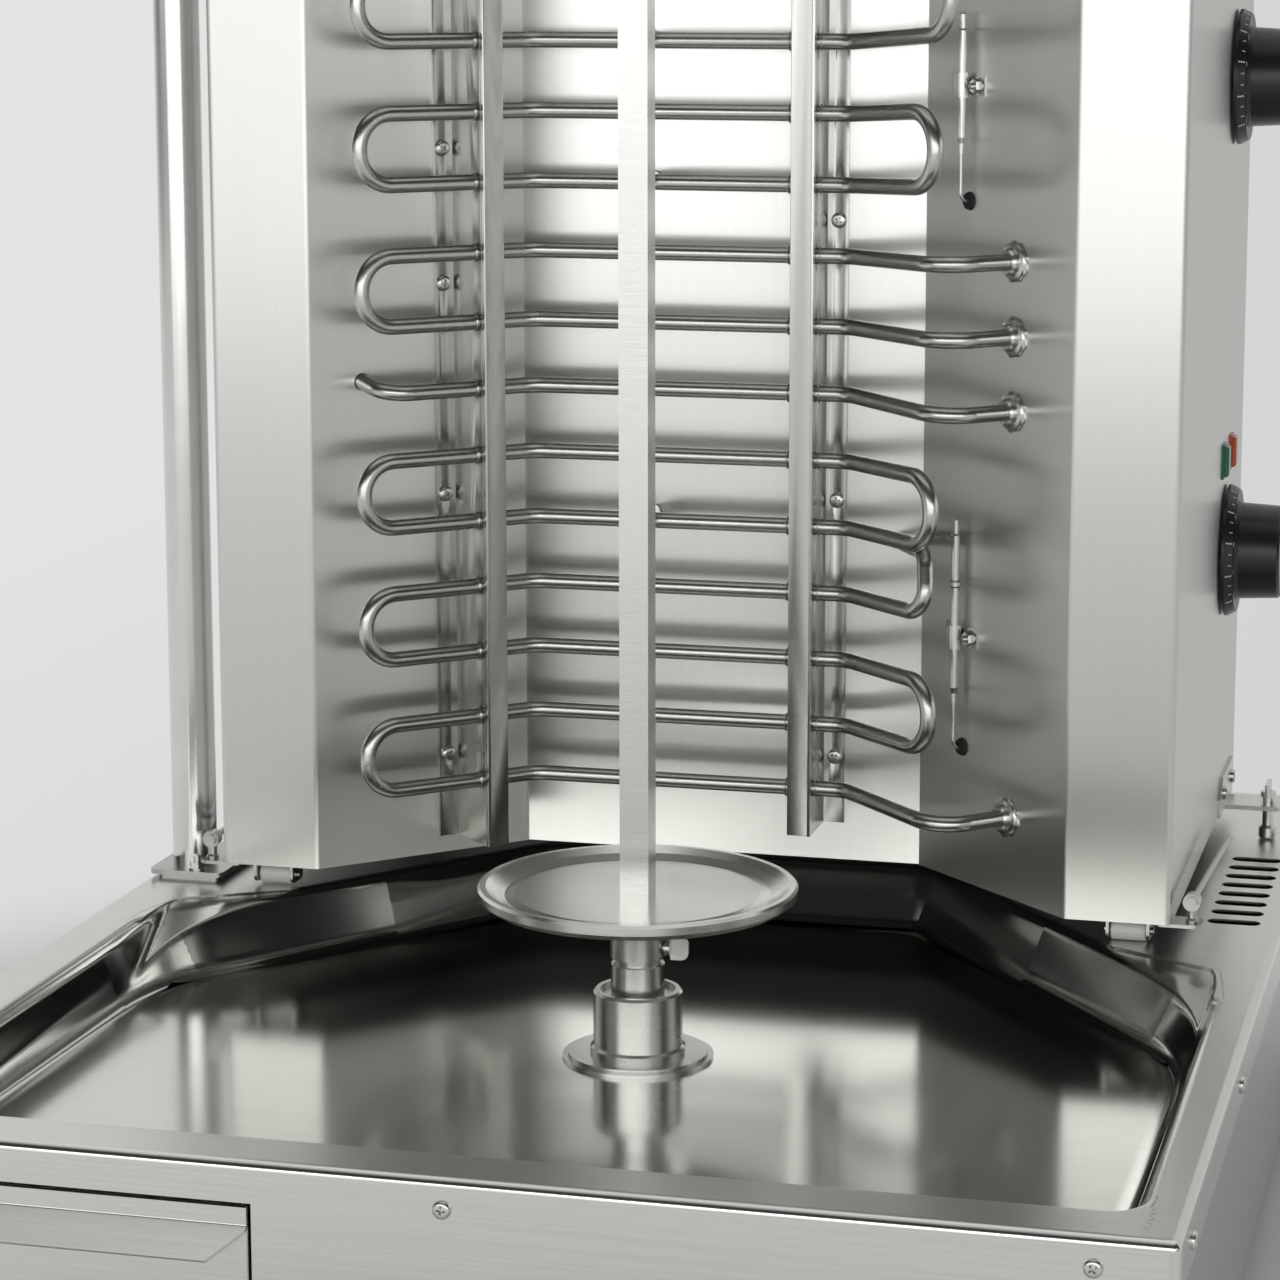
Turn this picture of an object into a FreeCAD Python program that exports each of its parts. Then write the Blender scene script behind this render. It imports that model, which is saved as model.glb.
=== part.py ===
"""Electric skewer grill: counter-top base with a deep-drawn drip pan and a grease drawer, a driven
upright skewer, and a C-shaped heating tower that rolls back and forth on the rim of the pan.

Millimetres.  +X is the user's right, +Y points to the back, +Z is up.  The origin is on the
counter, under the middle of the base.
"""
import FreeCAD
import Part
import math
import os

V = FreeCAD.Vector
X_AXIS = V(1, 0, 0)
Y_AXIS = V(0, 1, 0)
Z_AXIS = V(0, 0, 1)

# ---------------------------------------------------------------- driving dimensions
SHEET = 1.2                       # stainless sheet of the housing and of the tower
BASE_WIDTH = 600.0
BASE_DEPTH = 760.0
RIM_HEIGHT = 150.0                # top of the rim above the counter
FOOT_HEIGHT = 25.0

PAN_LEFT_X, PAN_RIGHT_X = -271.0, 278.5
PAN_FRONT_Y = -346.5
PAN_BACK_Y = 163.0
PAN_BACK_HALF_WIDTH = 106.5
PAN_DIAGONAL_RISE = 1.25          # depth lost per millimetre of width on the pan's back corners
PAN_DEPTH = 32.0
PAN_CORNER_RADIUS = 14.0
PAN_FLOOR_RADIUS = 7.0
GUSSET_DROPS = (18.0, 10.0)       # how far the pressed gussets fall at the back corners, left and right

TOWER_WIDTH = 500.0
TOWER_FRONT_Y = 21.0
TOWER_DEPTH = 320.0
TOWER_BOTTOM_Z = RIM_HEIGHT + 15.0
TOWER_TOP_Z = 750.0
FRONT_FLANGE = 53.0               # width of the tower's two front faces
REFLECTOR_HALF_WIDTH = 106.0
REFLECTOR_Y = TOWER_FRONT_Y + 88.7
TOWER_TRAVEL = 40.0

SPIT_X = 10.0
SPIT_Y = -104.0
SKEWER_SIDE = 14.0
PLATE_RADIUS = 76.5
PLATE_RIM_Z = RIM_HEIGHT + 53.3
BOSS_RADIUS = 13.2
BOSS_BOTTOM_Z = RIM_HEIGHT + 17.0
COLLAR_RADIUS = 21.4
COLLAR_TOP_Z = RIM_HEIGHT + 1.6
RUNNING_GAP = 0.05                # radial clearance of every turning or sliding fit

ROD_RADIUS = 4.1
ROD_STANDOFF = 28.0               # heating rod's axis in front of the reflectors
ROW_LOW_Z = RIM_HEIGHT + 59.6
ROW_PITCH_LOW = 34.6              # rows 1 to 8
ROW_PITCH_HIGH = 36.0             # rows 9 to 15
ROWS_LOW = 8
ROD_BEND_RADIUS = 16.0
ROD_BEND_RIGHT_X = 73.0

POLE_RADIUS = 12.0
POLE_X = -285.0
POLE_Y = 70.0
POLE_TOP_Z = 806.0
ARM_BOTTOM_Z = 776.0

ROLLER_RADIUS = 5.2
ROLLER_LENGTH = 18.0
ROLLER_X = 227.0
ROLLER_Y = (43.0, 300.0)
ROLLER_AXLE_Z = RIM_HEIGHT + 5.5

KNOB_Y = 246.0
KNOB_Z = (RIM_HEIGHT + 167.0, RIM_HEIGHT + 424.0)

DRAWER_LEFT_X = -284.0
DRAWER_RIGHT_X = -83.0
DRAWER_TOP_Z = RIM_HEIGHT - 18.0
DRAWER_BOTTOM_Z = 40.0
DRAWER_GAP = 1.5
LIP_REACH = 16.0                  # how far the drawer's handle lip stands out

HALF_WIDTH = BASE_WIDTH / 2
HALF_DEPTH = BASE_DEPTH / 2
TOWER_HALF = TOWER_WIDTH / 2
TOWER_BACK_Y = TOWER_FRONT_Y + TOWER_DEPTH
PAN_FLOOR_Z = RIM_HEIGHT - PAN_DEPTH
PANEL_ANGLE = math.degrees(math.atan2(REFLECTOR_Y - TOWER_FRONT_Y,
                                      TOWER_HALF - FRONT_FLANGE - REFLECTOR_HALF_WIDTH))


# ---------------------------------------------------------------- geometry helpers
def box(x0, x1, y0, y1, z0, z1):
    """Block between two corners."""
    return Part.makeBox(x1 - x0, y1 - y0, z1 - z0, V(x0, y0, z0))


def rod(radius, start, end):
    """Round bar from one point to another."""
    axis = end - start
    return Part.makeCylinder(radius, axis.Length, start, axis)


def tube(outer, inner, start, end):
    """Round tube from one point to another."""
    return rod(outer, start, end).cut(rod(inner, start, end))


def hexagon(across, start, end):
    """Hexagonal bar, for bolt heads and nuts, from one point to another."""
    axis = (end - start).normalize()
    side = axis.cross(Z_AXIS) if abs(axis.z) < 0.9 else X_AXIS
    other = axis.cross(side)
    corner = across / math.sqrt(3)
    points = []
    for step in range(7):
        angle = math.radians(60 * step)
        points.append(start + side * (corner * math.cos(angle)) + other * (corner * math.sin(angle)))
    return Part.Face(Part.makePolygon(points)).extrude(end - start)


def offset_points(points, distance):
    """Open polyline moved sideways, to the left of its direction, with mitred corners."""
    moved = []
    for index, point in enumerate(points):
        before = points[max(index - 1, 0)]
        after = points[min(index + 1, len(points) - 1)]
        first = (point - before) if index else (after - point)
        second = (after - point) if index < len(points) - 1 else first
        normal_a = Z_AXIS.cross(V(first).normalize())
        normal_b = Z_AXIS.cross(V(second).normalize())
        mitre = normal_a + normal_b
        moved.append(point + mitre * (2 * distance / mitre.dot(mitre)))
    return moved


def rounded_edges(points, radii):
    """Straight edges through 3-D points with a tangent arc of the given radius at each inner point."""
    edges = []
    start = points[0]
    for index in range(1, len(points) - 1):
        corner = points[index]
        to_back = V(points[index - 1] - corner).normalize()
        to_next = V(points[index + 1] - corner).normalize()
        radius = radii[index - 1]
        half = to_back.getAngle(to_next) / 2
        if radius < 0.05 or abs(half - math.pi / 2) < 1e-4:
            edges.append(Part.LineSegment(start, corner).toShape())
            start = corner
            continue
        reach = radius / math.tan(half)
        arc_start = corner + to_back * reach
        arc_end = corner + to_next * reach
        bisector = V(to_back + to_next).normalize()
        middle = corner + bisector * (radius / math.sin(half) - radius)
        if (arc_start - start).Length > 1e-4:
            edges.append(Part.LineSegment(start, arc_start).toShape())
        edges.append(Part.Arc(arc_start, middle, arc_end).toShape())
        start = arc_end
    if (points[-1] - start).Length > 1e-4:
        edges.append(Part.LineSegment(start, points[-1]).toShape())
    return edges


def bent_sheet(points, thickness, radius):
    """Face of a folded sheet seen edge-on: points run along one face, thickness lies to its left."""
    inner = offset_points(points, thickness)
    near_radii = []
    far_radii = []
    for index in range(1, len(points) - 1):
        turn = (points[index] - points[index - 1]).cross(points[index + 1] - points[index]).z
        near_radii.append(radius + thickness if turn > 0 else radius)
        far_radii.append(radius if turn > 0 else radius + thickness)
    edges = rounded_edges(points, near_radii)
    edges.append(Part.LineSegment(points[-1], inner[-1]).toShape())
    edges += rounded_edges(inner[::-1], far_radii[::-1])
    edges.append(Part.LineSegment(inner[0], points[0]).toShape())
    return Part.Face(Part.Wire(edges))


def flat_points(pairs, z=0.0):
    """Points at one height from (x, y) pairs."""
    return [V(x, y, z) for x, y in pairs]


def prism(pairs, z0, z1):
    """Upright prism on a polygon."""
    points = flat_points(pairs, z0)
    return Part.Face(Part.makePolygon(points + points[:1])).extrude(V(0, 0, z1 - z0))


def turned(profile, x, y):
    """Solid of revolution about the upright axis through (x, y), from (radius, z) pairs."""
    points = [V(x + radius, y, z) for radius, z in profile]
    face = Part.Face(Part.makePolygon(points + points[:1]))
    return face.revolve(V(x, y, 0), Z_AXIS, 360)


def turned_about_x(profile, y, z):
    """Solid of revolution about the axis along X through (y, z), from (radius, x) pairs."""
    points = [V(x, y, z + radius) for radius, x in profile]
    face = Part.Face(Part.makePolygon(points + points[:1]))
    return face.revolve(V(0, y, z), X_AXIS, 360)


def upright_edges(shape):
    """Edges of a shape that run along Z."""
    found = []
    for edge in shape.Edges:
        tangent = edge.tangentAt(edge.FirstParameter)
        if abs(abs(tangent.z) - 1) < 1e-6 and edge.Curve.TypeId == "Part::GeomLine":
            found.append(edge)
    return found


def level_edges(shape, z):
    """Edges of a shape that lie in the plane at height z."""
    return [edge for edge in shape.Edges
            if all(abs(vertex.Z - z) < 1e-4 for vertex in edge.Vertexes)
            and abs(edge.CenterOfMass.z - z) < 1e-4]


def rounded_block(x0, x1, y0, y1, z0, z1, corner, rim=0.0):
    """Block with rounded upright edges and, if asked, a rounded top edge."""
    block = box(x0, x1, y0, y1, z0, z1)
    block = block.makeFillet(corner, upright_edges(block))
    if rim:
        block = block.makeFillet(rim, level_edges(block, z1))
    return block


def slot(length, width, x, y, z0, z1):
    """Upright cutter for a slot along X with round ends, centred on (x, y)."""
    reach = (length - width) / 2
    cutter = box(x - reach, x + reach, y - width / 2, y + width / 2, z0, z1)
    for side in (-1, 1):
        end = V(x + side * reach, y, z0)
        cutter = cutter.fuse(rod(width / 2, end, end + V(0, 0, z1 - z0)))
    return cutter.removeSplitter()


def pan_head_screw(seat, outward, head_radius=4.0, head_height=2.4, shank=7.0):
    """Pan-head screw: a domed head standing on its seat and a plain shank behind it."""
    head = rod(head_radius, seat, seat + outward * head_height)
    crown = [edge for edge in head.Edges
             if edge.Curve.TypeId == "Part::GeomCircle"
             and (edge.CenterOfMass - seat - outward * head_height).Length < 1e-3]
    head = head.makeFillet(head_height * 0.6, crown)
    return head.fuse(rod(head_radius / 2, seat - outward * shank, seat))


def mirrored(shape):
    """Copy on the other side of the middle plane."""
    return shape.mirror(V(0, 0, 0), X_AXIS)


def compound(shapes):
    """Several separate solids kept in one node."""
    return Part.makeCompound(shapes)


def save(node, shape):
    """Write one sub-part."""
    shape.exportStep("parts/" + node + ".step")


# ---------------------------------------------------------------- base housing
SKIRT_Z = RIM_HEIGHT - 24.0
RIM_FOLD_RADIUS = 4.0
DRAIN_X, DRAIN_Y, DRAIN_RADIUS = -238.0, -318.0, 11.0
WALL_INSET = 1.5                  # the side walls stand this far inside the rim's skirt
FRONT_SCREW_X = (-266.0, 0.0, 266.0)
SIDE_SCREW_Y = (-340.0, -137.0, 150.0, 340.0)
SCREW_DROP = 13.0                 # screw line below the rim
GUSSET_START_X = 208.0            # where the gusset's fold leaves the diagonal wall
GUSSET_BACK_Y = 0.0               # where it meets the side wall
GUSSET_CREASE = 8.0
MOUTH_RADIUS = 5.0                # rolled edge between rim and pan wall
VENT_COUNT = 8
VENT_PITCH = 18.6
VENT_FIRST_Y = 90.0
VENT_X = 275.0


def pan_side_end(side_x):
    """Where the pan's diagonal back wall meets a side wall."""
    return PAN_BACK_Y - PAN_DIAGONAL_RISE * (abs(side_x) - PAN_BACK_HALF_WIDTH)


def pan_solid(grow):
    """The drip pan's hollow with its rolled mouth, or its outer form when grown by the sheet thickness."""
    outline = flat_points([(PAN_RIGHT_X, PAN_FRONT_Y), (PAN_RIGHT_X, pan_side_end(PAN_RIGHT_X)),
                           (PAN_BACK_HALF_WIDTH, PAN_BACK_Y), (-PAN_BACK_HALF_WIDTH, PAN_BACK_Y),
                           (PAN_LEFT_X, pan_side_end(PAN_LEFT_X)), (PAN_LEFT_X, PAN_FRONT_Y)])
    ring = offset_points([outline[-1]] + outline + [outline[0], outline[1]], -grow)[1:-1]
    floor_z = PAN_FLOOR_Z - grow
    top_z = RIM_HEIGHT - grow
    core = prism([(point.x, point.y) for point in ring[:-1]], floor_z, RIM_HEIGHT + 5)
    core = core.makeFillet(PAN_CORNER_RADIUS + grow, upright_edges(core))
    core = core.makeFillet(PAN_FLOOR_RADIUS + grow, level_edges(core, floor_z))
    wide = HALF_WIDTH - RIM_FOLD_RADIUS
    deep = HALF_DEPTH - RIM_FOLD_RADIUS
    slab = box(-wide, wide, -deep, deep, floor_z - 5, top_z)
    shoulder = slab.cut(core)
    mouth = [edge for edge in level_edges(shoulder, top_z)
             if abs(edge.CenterOfMass.x) < wide - 1 and abs(edge.CenterOfMass.y) < deep - 1]
    hollow = slab.cut(shoulder.makeFillet(MOUTH_RADIUS - grow, mouth))
    for side_x, drop in zip((PAN_LEFT_X, PAN_RIGHT_X), GUSSET_DROPS):
        hollow = hollow.fuse(gusset(side_x, drop, grow))
    return hollow


def gusset(side_x, drop, grow):
    """Pressed slope that widens the pan's mouth at one back corner."""
    side = math.copysign(1.0, side_x)
    top = RIM_HEIGHT + (0 if grow else 0.01)
    start_y = pan_side_end(GUSSET_START_X)
    wall_x = side_x + side * grow
    front_y = pan_side_end(side_x) - 10.0
    near = V(side * GUSSET_START_X, start_y - 8.0, top)
    far = V(side * (GUSSET_START_X - grow), start_y + grow, top)
    corner = V(wall_x, GUSSET_BACK_Y + grow, top)
    front = V(wall_x, front_y, top)
    low = V(wall_x, front_y, top - drop - grow)
    faces = [(far, corner, front, near), (far, near, low), (near, front, low), (front, corner, low),
             (far, low, corner)]
    if side > 0:
        faces = [face[::-1] for face in faces]
    shell = Part.Shell([Part.Face(Part.makePolygon(list(face) + [face[0]])) for face in faces])
    solid = Part.Solid(shell)
    middle = (corner + low) * 0.5
    crease = [edge for edge in solid.Edges if edge.CenterOfMass.distanceToPoint(middle) < 0.1]
    return solid.makeFillet(GUSSET_CREASE + grow, crease)


def screw_places():
    """Seat and outward direction of every screw in the rim's skirt."""
    z = RIM_HEIGHT - SCREW_DROP
    places = [(V(x, -HALF_DEPTH, z), V(0, -1, 0)) for x in FRONT_SCREW_X]
    for y in SIDE_SCREW_Y:
        places += [(V(side * HALF_WIDTH, y, z), V(side, 0, 0)) for side in (-1, 1)]
    return places


def top_pan():
    """Rim, deep-drawn drip pan and front apron in one welded sheet."""
    outer = box(-HALF_WIDTH, HALF_WIDTH, -HALF_DEPTH, HALF_DEPTH, SKIRT_Z, RIM_HEIGHT)
    outer = outer.makeFillet(RIM_FOLD_RADIUS, upright_edges(outer) + level_edges(outer, RIM_HEIGHT))
    wide = HALF_WIDTH - SHEET
    deep = HALF_DEPTH - SHEET
    inner = box(-wide, wide, -deep, deep, SKIRT_Z, RIM_HEIGHT - SHEET)
    inner = inner.makeFillet(RIM_FOLD_RADIUS - SHEET,
                             upright_edges(inner) + level_edges(inner, RIM_HEIGHT - SHEET))
    sheet = outer.cut(inner)
    return_y = 14 - HALF_DEPTH
    apron_path = flat_points([(-HALF_WIDTH, return_y), (-HALF_WIDTH, -HALF_DEPTH), (HALF_WIDTH, -HALF_DEPTH),
                              (HALF_WIDTH, return_y)], FOOT_HEIGHT + 3)
    apron = bent_sheet(apron_path, SHEET, RIM_FOLD_RADIUS - SHEET).extrude(V(0, 0, SKIRT_Z - FOOT_HEIGHT - 3))
    sheet = sheet.fuse(apron).fuse(pan_solid(SHEET)).cut(pan_solid(0))
    sheet = sheet.cut(box(DRAWER_LEFT_X, DRAWER_RIGHT_X, -HALF_DEPTH - 1, -deep + 1,
                          DRAWER_BOTTOM_Z, DRAWER_TOP_Z))
    below = PAN_FLOOR_Z - 20
    sheet = sheet.fuse(drain_spout())
    sheet = sheet.cut(rod(DRAIN_RADIUS, V(DRAIN_X, DRAIN_Y, below), V(DRAIN_X, DRAIN_Y, PAN_FLOOR_Z + 1)))
    sheet = sheet.cut(rod(10.0, V(SPIT_X, SPIT_Y, below), V(SPIT_X, SPIT_Y, PAN_FLOOR_Z + 1)))
    for index in range(VENT_COUNT):
        sheet = sheet.cut(slot(27.0, 9.5, VENT_X, VENT_FIRST_Y + index * VENT_PITCH,
                               RIM_HEIGHT - 3, RIM_HEIGHT + 1))
    for seat, outward in screw_places():
        sheet = sheet.cut(rod(2.2, seat - outward * 3, seat + outward))
    return sheet.removeSplitter()


def drain_spout():
    """Short spout under the pan's drain hole, above the drawer."""
    top = PAN_FLOOR_Z - SHEET
    return tube(DRAIN_RADIUS + 1.5, DRAIN_RADIUS, V(DRAIN_X, DRAIN_Y, top - 4), V(DRAIN_X, DRAIN_Y, top))


def cabinet():
    """Side walls and back wall, folded from one sheet."""
    wide = HALF_WIDTH - WALL_INSET
    deep = HALF_DEPTH - WALL_INSET
    path = flat_points([(wide, 4 - HALF_DEPTH), (wide, deep), (-wide, deep), (-wide, 4 - HALF_DEPTH)],
                       FOOT_HEIGHT + 0.3)
    wall = bent_sheet(path, SHEET, 2.0).extrude(V(0, 0, RIM_HEIGHT - 4.5 - FOOT_HEIGHT - 0.3))
    for seat, outward in screw_places():
        wall = wall.cut(rod(2.2, seat - outward * 8, seat + outward))
    return wall.cut(rod(8.2, V(GLAND_X, deep - 4, GLAND_Z), V(GLAND_X, deep + 4, GLAND_Z)))


def floor_plate():
    """Bottom tray inside the walls."""
    wide = HALF_WIDTH - 3.2
    deep = HALF_DEPTH - 3.2
    tray = box(-wide, wide, -deep, deep, FOOT_HEIGHT, FOOT_HEIGHT + 14)
    tray = tray.makeFillet(4.0, upright_edges(tray))
    tray = tray.cut(box(-wide + SHEET, wide - SHEET, -deep + SHEET, deep - SHEET,
                        FOOT_HEIGHT + 1.5, FOOT_HEIGHT + 15))
    tray = tray.cut(box(DRAWER_LEFT_X - 5, DRAWER_RIGHT_X + 5, -deep - 1, -deep + 2,
                        FOOT_HEIGHT + 1.5, FOOT_HEIGHT + 15))
    for x, y in foot_places():
        tray = tray.cut(rod(3.3, V(x, y, FOOT_HEIGHT - 1), V(x, y, FOOT_HEIGHT + 3)))
    return tray


def foot_places():
    """Centres of the four feet."""
    return [(x, y) for x in (-262.0, 262.0) for y in (-342.0, 342.0)]


def feet():
    """Four tapered rubber feet with a recess for the bolt's head."""
    profile = [(3.3, 7), (9, 7), (9, 0), (14, 0), (15, 1), (18, FOOT_HEIGHT), (3.3, FOOT_HEIGHT)]
    return compound([turned(profile, x, y) for x, y in foot_places()])


def foot_bolts():
    """Bolt and nut through each foot."""
    bolts = []
    for x, y in foot_places():
        head = hexagon(10, V(x, y, 2.5), V(x, y, 6.9))
        shank = rod(3.0, V(x, y, 6.9), V(x, y, FOOT_HEIGHT + 9))
        nut = hexagon(10, V(x, y, FOOT_HEIGHT + 1.6), V(x, y, FOOT_HEIGHT + 6.6))
        bolts.append(head.fuse(shank).fuse(nut))
    return bolts


def base_screws():
    """Pan-head screws in the rim's skirt."""
    return [pan_head_screw(seat, outward, shank=5.0) for seat, outward in screw_places()]


# ---------------------------------------------------------------- cable inlet on the back
GLAND_X, GLAND_Z = 205.0, 78.0


def cable_gland():
    """Inlet gland in the back wall: hexagon body, domed cap and an inner nut."""
    wall = HALF_DEPTH - WALL_INSET
    end = HALF_DEPTH + LIP_REACH + SHEET * math.sin(LIP_ANGLE)
    centre = V(GLAND_X, 0, GLAND_Z)
    body = hexagon(22, centre + V(0, wall, 0), centre + V(0, wall + 6, 0))
    cap = rod(10.5, centre + V(0, wall + 6, 0), centre + V(0, end, 0))
    crown = [edge for edge in cap.Edges if abs(edge.CenterOfMass.y - end) < 1e-3
             and edge.Curve.TypeId == "Part::GeomCircle"]
    cap = cap.makeFillet(3.5, crown)
    thread = rod(8.0, centre + V(0, wall - 9, 0), centre + V(0, wall, 0))
    nut = hexagon(21, centre + V(0, wall - SHEET - 5, 0), centre + V(0, wall - SHEET, 0))
    bore = rod(4.5, centre + V(0, wall - 10, 0), centre + V(0, end + 1, 0))
    return body.fuse([cap, thread, nut]).cut(bore).removeSplitter()


# ---------------------------------------------------------------- grease drawer
TUB_CLEARANCE = 7.0
TUB_BACK_Y = -92.0
TUB_BOTTOM_Z = DRAWER_BOTTOM_Z + 3.0
TUB_TOP_Z = PAN_FLOOR_Z - 9.0
LIP_ROOT_Z = RIM_HEIGHT - 28.0
LIP_TIP_Z = RIM_HEIGHT - 39.0
LIP_ANGLE = math.atan2(LIP_ROOT_Z - LIP_TIP_Z, LIP_REACH)
LIP_CORNER = 13.0                 # diagonal cut at each end of the lip


def drawer_front():
    """Front panel with folded sides."""
    left = DRAWER_LEFT_X + DRAWER_GAP
    right = DRAWER_RIGHT_X - DRAWER_GAP
    fold_y = 10 - HALF_DEPTH
    path = flat_points([(left, fold_y), (left, -HALF_DEPTH), (right, -HALF_DEPTH), (right, fold_y)],
                       DRAWER_BOTTOM_Z + DRAWER_GAP)
    height = DRAWER_TOP_Z - DRAWER_BOTTOM_Z - 2 * DRAWER_GAP
    return bent_sheet(path, SHEET, 0.6).extrude(V(0, 0, height))


def drawer_lip():
    """Handle: a strip on the panel's top edge that folds outwards, with diagonally cut ends."""
    front = -HALF_DEPTH
    left = DRAWER_LEFT_X + DRAWER_GAP
    right = DRAWER_RIGHT_X - DRAWER_GAP
    section = [V(front, DRAWER_TOP_Z - DRAWER_GAP, 0), V(front, LIP_ROOT_Z, 0),
               V(front - LIP_REACH, LIP_TIP_Z, 0)]
    face = bent_sheet(section[::-1], SHEET, 1.0)
    face.Placement = FreeCAD.Placement(V(left, 0, 0), FreeCAD.Rotation(V(0, 1, 0), V(0, 0, 1), V(1, 0, 0)))
    strip = face.extrude(V(right - left, 0, 0))
    for end, inward in ((left, 1), (right, -1)):
        corner = prism([(end, front - 3), (end, front - LIP_REACH - 9),
                        (end + inward * LIP_CORNER * 1.6, front - LIP_REACH - 9)],
                       LIP_TIP_Z - 9, LIP_ROOT_Z + 2)
        strip = strip.cut(corner)
    return strip


def drawer_tub():
    """Pressed tray that catches the grease."""
    left = DRAWER_LEFT_X + TUB_CLEARANCE
    right = DRAWER_RIGHT_X - TUB_CLEARANCE
    front = -HALF_DEPTH + SHEET + 0.3

    def form(inset, top):
        block = box(left + inset, right - inset, front + inset, TUB_BACK_Y - inset,
                    TUB_BOTTOM_Z + inset, top)
        block = block.makeFillet(9.0 - inset, upright_edges(block))
        return block.makeFillet(6.0 - inset, level_edges(block, TUB_BOTTOM_Z + inset))

    return form(0, TUB_TOP_Z).cut(form(1.0, TUB_TOP_Z + 5))


def drawer_rails():
    """Welded rails that carry and guide the tub on both sides."""
    ledge_top = TUB_BOTTOM_Z - 0.3
    floor = FOOT_HEIGHT + 1.5
    middle = (DRAWER_LEFT_X + DRAWER_RIGHT_X) / 2
    guide = (DRAWER_RIGHT_X - DRAWER_LEFT_X) / 2 - TUB_CLEARANCE + 0.8
    start = 14 - HALF_DEPTH
    length = TUB_BACK_Y + 20 - start
    foot = box(guide, guide + 11, 0, length, floor, floor + SHEET)
    web = box(guide, guide + SHEET, 0, length, floor, TUB_BOTTOM_Z + 20)
    ledge = box(guide - 12, guide, 0, length, ledge_top - SHEET, ledge_top)
    stop = box(guide - 12, guide, length - SHEET, length, ledge_top, TUB_BOTTOM_Z + 20)
    rail = foot.fuse([web, ledge, stop])
    rails = [rail, mirrored(rail)]
    for piece in rails:
        piece.translate(V(middle, start, 0))
    return compound(rails)


# ---------------------------------------------------------------- spit drive and bearing
FLANGE_TOP_Z = PAN_FLOOR_Z + 3.0
NECK_RADIUS = 12.85
STUB_RADIUS = 8.0
MOTOR_PLATE_Z = PAN_FLOOR_Z - SHEET - 11.0
MOTOR_AXIS_Z = 78.0


def bearing_collar():
    """Upright bearing on a two-step disc, with a bead at its foot and a recessed ring in its top."""
    bore = NECK_RADIUS + RUNNING_GAP
    disc = [(bore, PAN_FLOOR_Z), (36.3, PAN_FLOOR_Z), (36.3, PAN_FLOOR_Z + 1.5), (33.5, PAN_FLOOR_Z + 1.5),
            (33.5, FLANGE_TOP_Z)]
    collar = [(COLLAR_RADIUS + 1.4, FLANGE_TOP_Z), (COLLAR_RADIUS + 1.4, FLANGE_TOP_Z + 2.4),
              (COLLAR_RADIUS, FLANGE_TOP_Z + 3.6), (COLLAR_RADIUS, COLLAR_TOP_Z - 1.2),
              (COLLAR_RADIUS - 1.2, COLLAR_TOP_Z), (COLLAR_RADIUS - 3.4, COLLAR_TOP_Z),
              (COLLAR_RADIUS - 3.4, COLLAR_TOP_Z - 2.2), (bore, COLLAR_TOP_Z - 2.2)]
    return turned(disc + collar, SPIT_X, SPIT_Y)


def spit_shaft():
    """Turned shaft: drive stub, neck in the collar, and the spigot that carries the boss."""
    profile = [(0, PAN_FLOOR_Z - 34), (STUB_RADIUS, PAN_FLOOR_Z - 34), (STUB_RADIUS, FLANGE_TOP_Z + 2),
               (NECK_RADIUS, FLANGE_TOP_Z + 2), (NECK_RADIUS, BOSS_BOTTOM_Z - 2.8),
               (NECK_RADIUS - 0.8, BOSS_BOTTOM_Z - 2.0), (10.8, BOSS_BOTTOM_Z - 2.0), (10.8, BOSS_BOTTOM_Z),
               (SPIGOT_RADIUS, BOSS_BOTTOM_Z), (SPIGOT_RADIUS, SKEWER_BOTTOM_Z - 0.5),
               (0, SKEWER_BOTTOM_Z - 0.5)]
    return turned(profile, SPIT_X, SPIT_Y)


def motor_mount():
    """Plate hung under the pan on four spacers."""
    top = MOTOR_PLATE_Z + 3
    plate = rounded_block(SPIT_X - 52, SPIT_X + 52, SPIT_Y - 48, SPIT_Y + 62, MOTOR_PLATE_Z, top, 8.0)
    plate = plate.cut(rod(15.0, V(SPIT_X, SPIT_Y, MOTOR_PLATE_Z - 1), V(SPIT_X, SPIT_Y, top + 1)))
    for dx in (-44.0, 44.0):
        for y in (SPIT_Y - 40, SPIT_Y + 54):
            base = V(SPIT_X + dx, y, top)
            plate = plate.fuse(rod(5.0, base, V(SPIT_X + dx, y, PAN_FLOOR_Z - SHEET)))
    return plate


def gear_motor():
    """Worm gearbox under the shaft and its motor lying towards the back."""
    top = MOTOR_PLATE_Z - 0.2
    gearbox = rounded_block(SPIT_X - 36, SPIT_X + 36, SPIT_Y - 36, SPIT_Y + 52, top - 46, top, 10.0, 2.0)
    boss = rod(12.0, V(SPIT_X, SPIT_Y, top), V(SPIT_X, SPIT_Y, top + 9))
    motor_start = V(SPIT_X, SPIT_Y + 52, MOTOR_AXIS_Z)
    can = rod(27.0, motor_start, motor_start + V(0, 92, 0))
    rim = [edge for edge in can.Edges if abs(edge.CenterOfMass.y - motor_start.y - 92) < 1e-3]
    can = can.makeFillet(4.0, rim)
    bearing_cap = rod(9.0, motor_start + V(0, 92, 0), motor_start + V(0, 98, 0))
    bore = rod(STUB_RADIUS + RUNNING_GAP, V(SPIT_X, SPIT_Y, PAN_FLOOR_Z - 35), V(SPIT_X, SPIT_Y, top + 10))
    return gearbox.fuse([boss, can, bearing_cap]).cut(bore).removeSplitter()


# ---------------------------------------------------------------- skewer, plate and thumb screw
SPIGOT_RADIUS = 8.9
SKEWER_BOTTOM_Z = BOSS_BOTTOM_Z + 9.5
PLATE_BOTTOM_Z = PLATE_RIM_Z - 7.8
SKEWER_SHOULDER_Z = 748.0
JOURNAL_RADIUS = 4.0
JOURNAL_START_Z = 766.0
SKEWER_TOP_Z = 781.0
THUMB_SCREW_Z = BOSS_BOTTOM_Z + 5.5
THUMB_SCREW_RADIUS = 2.5


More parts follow.
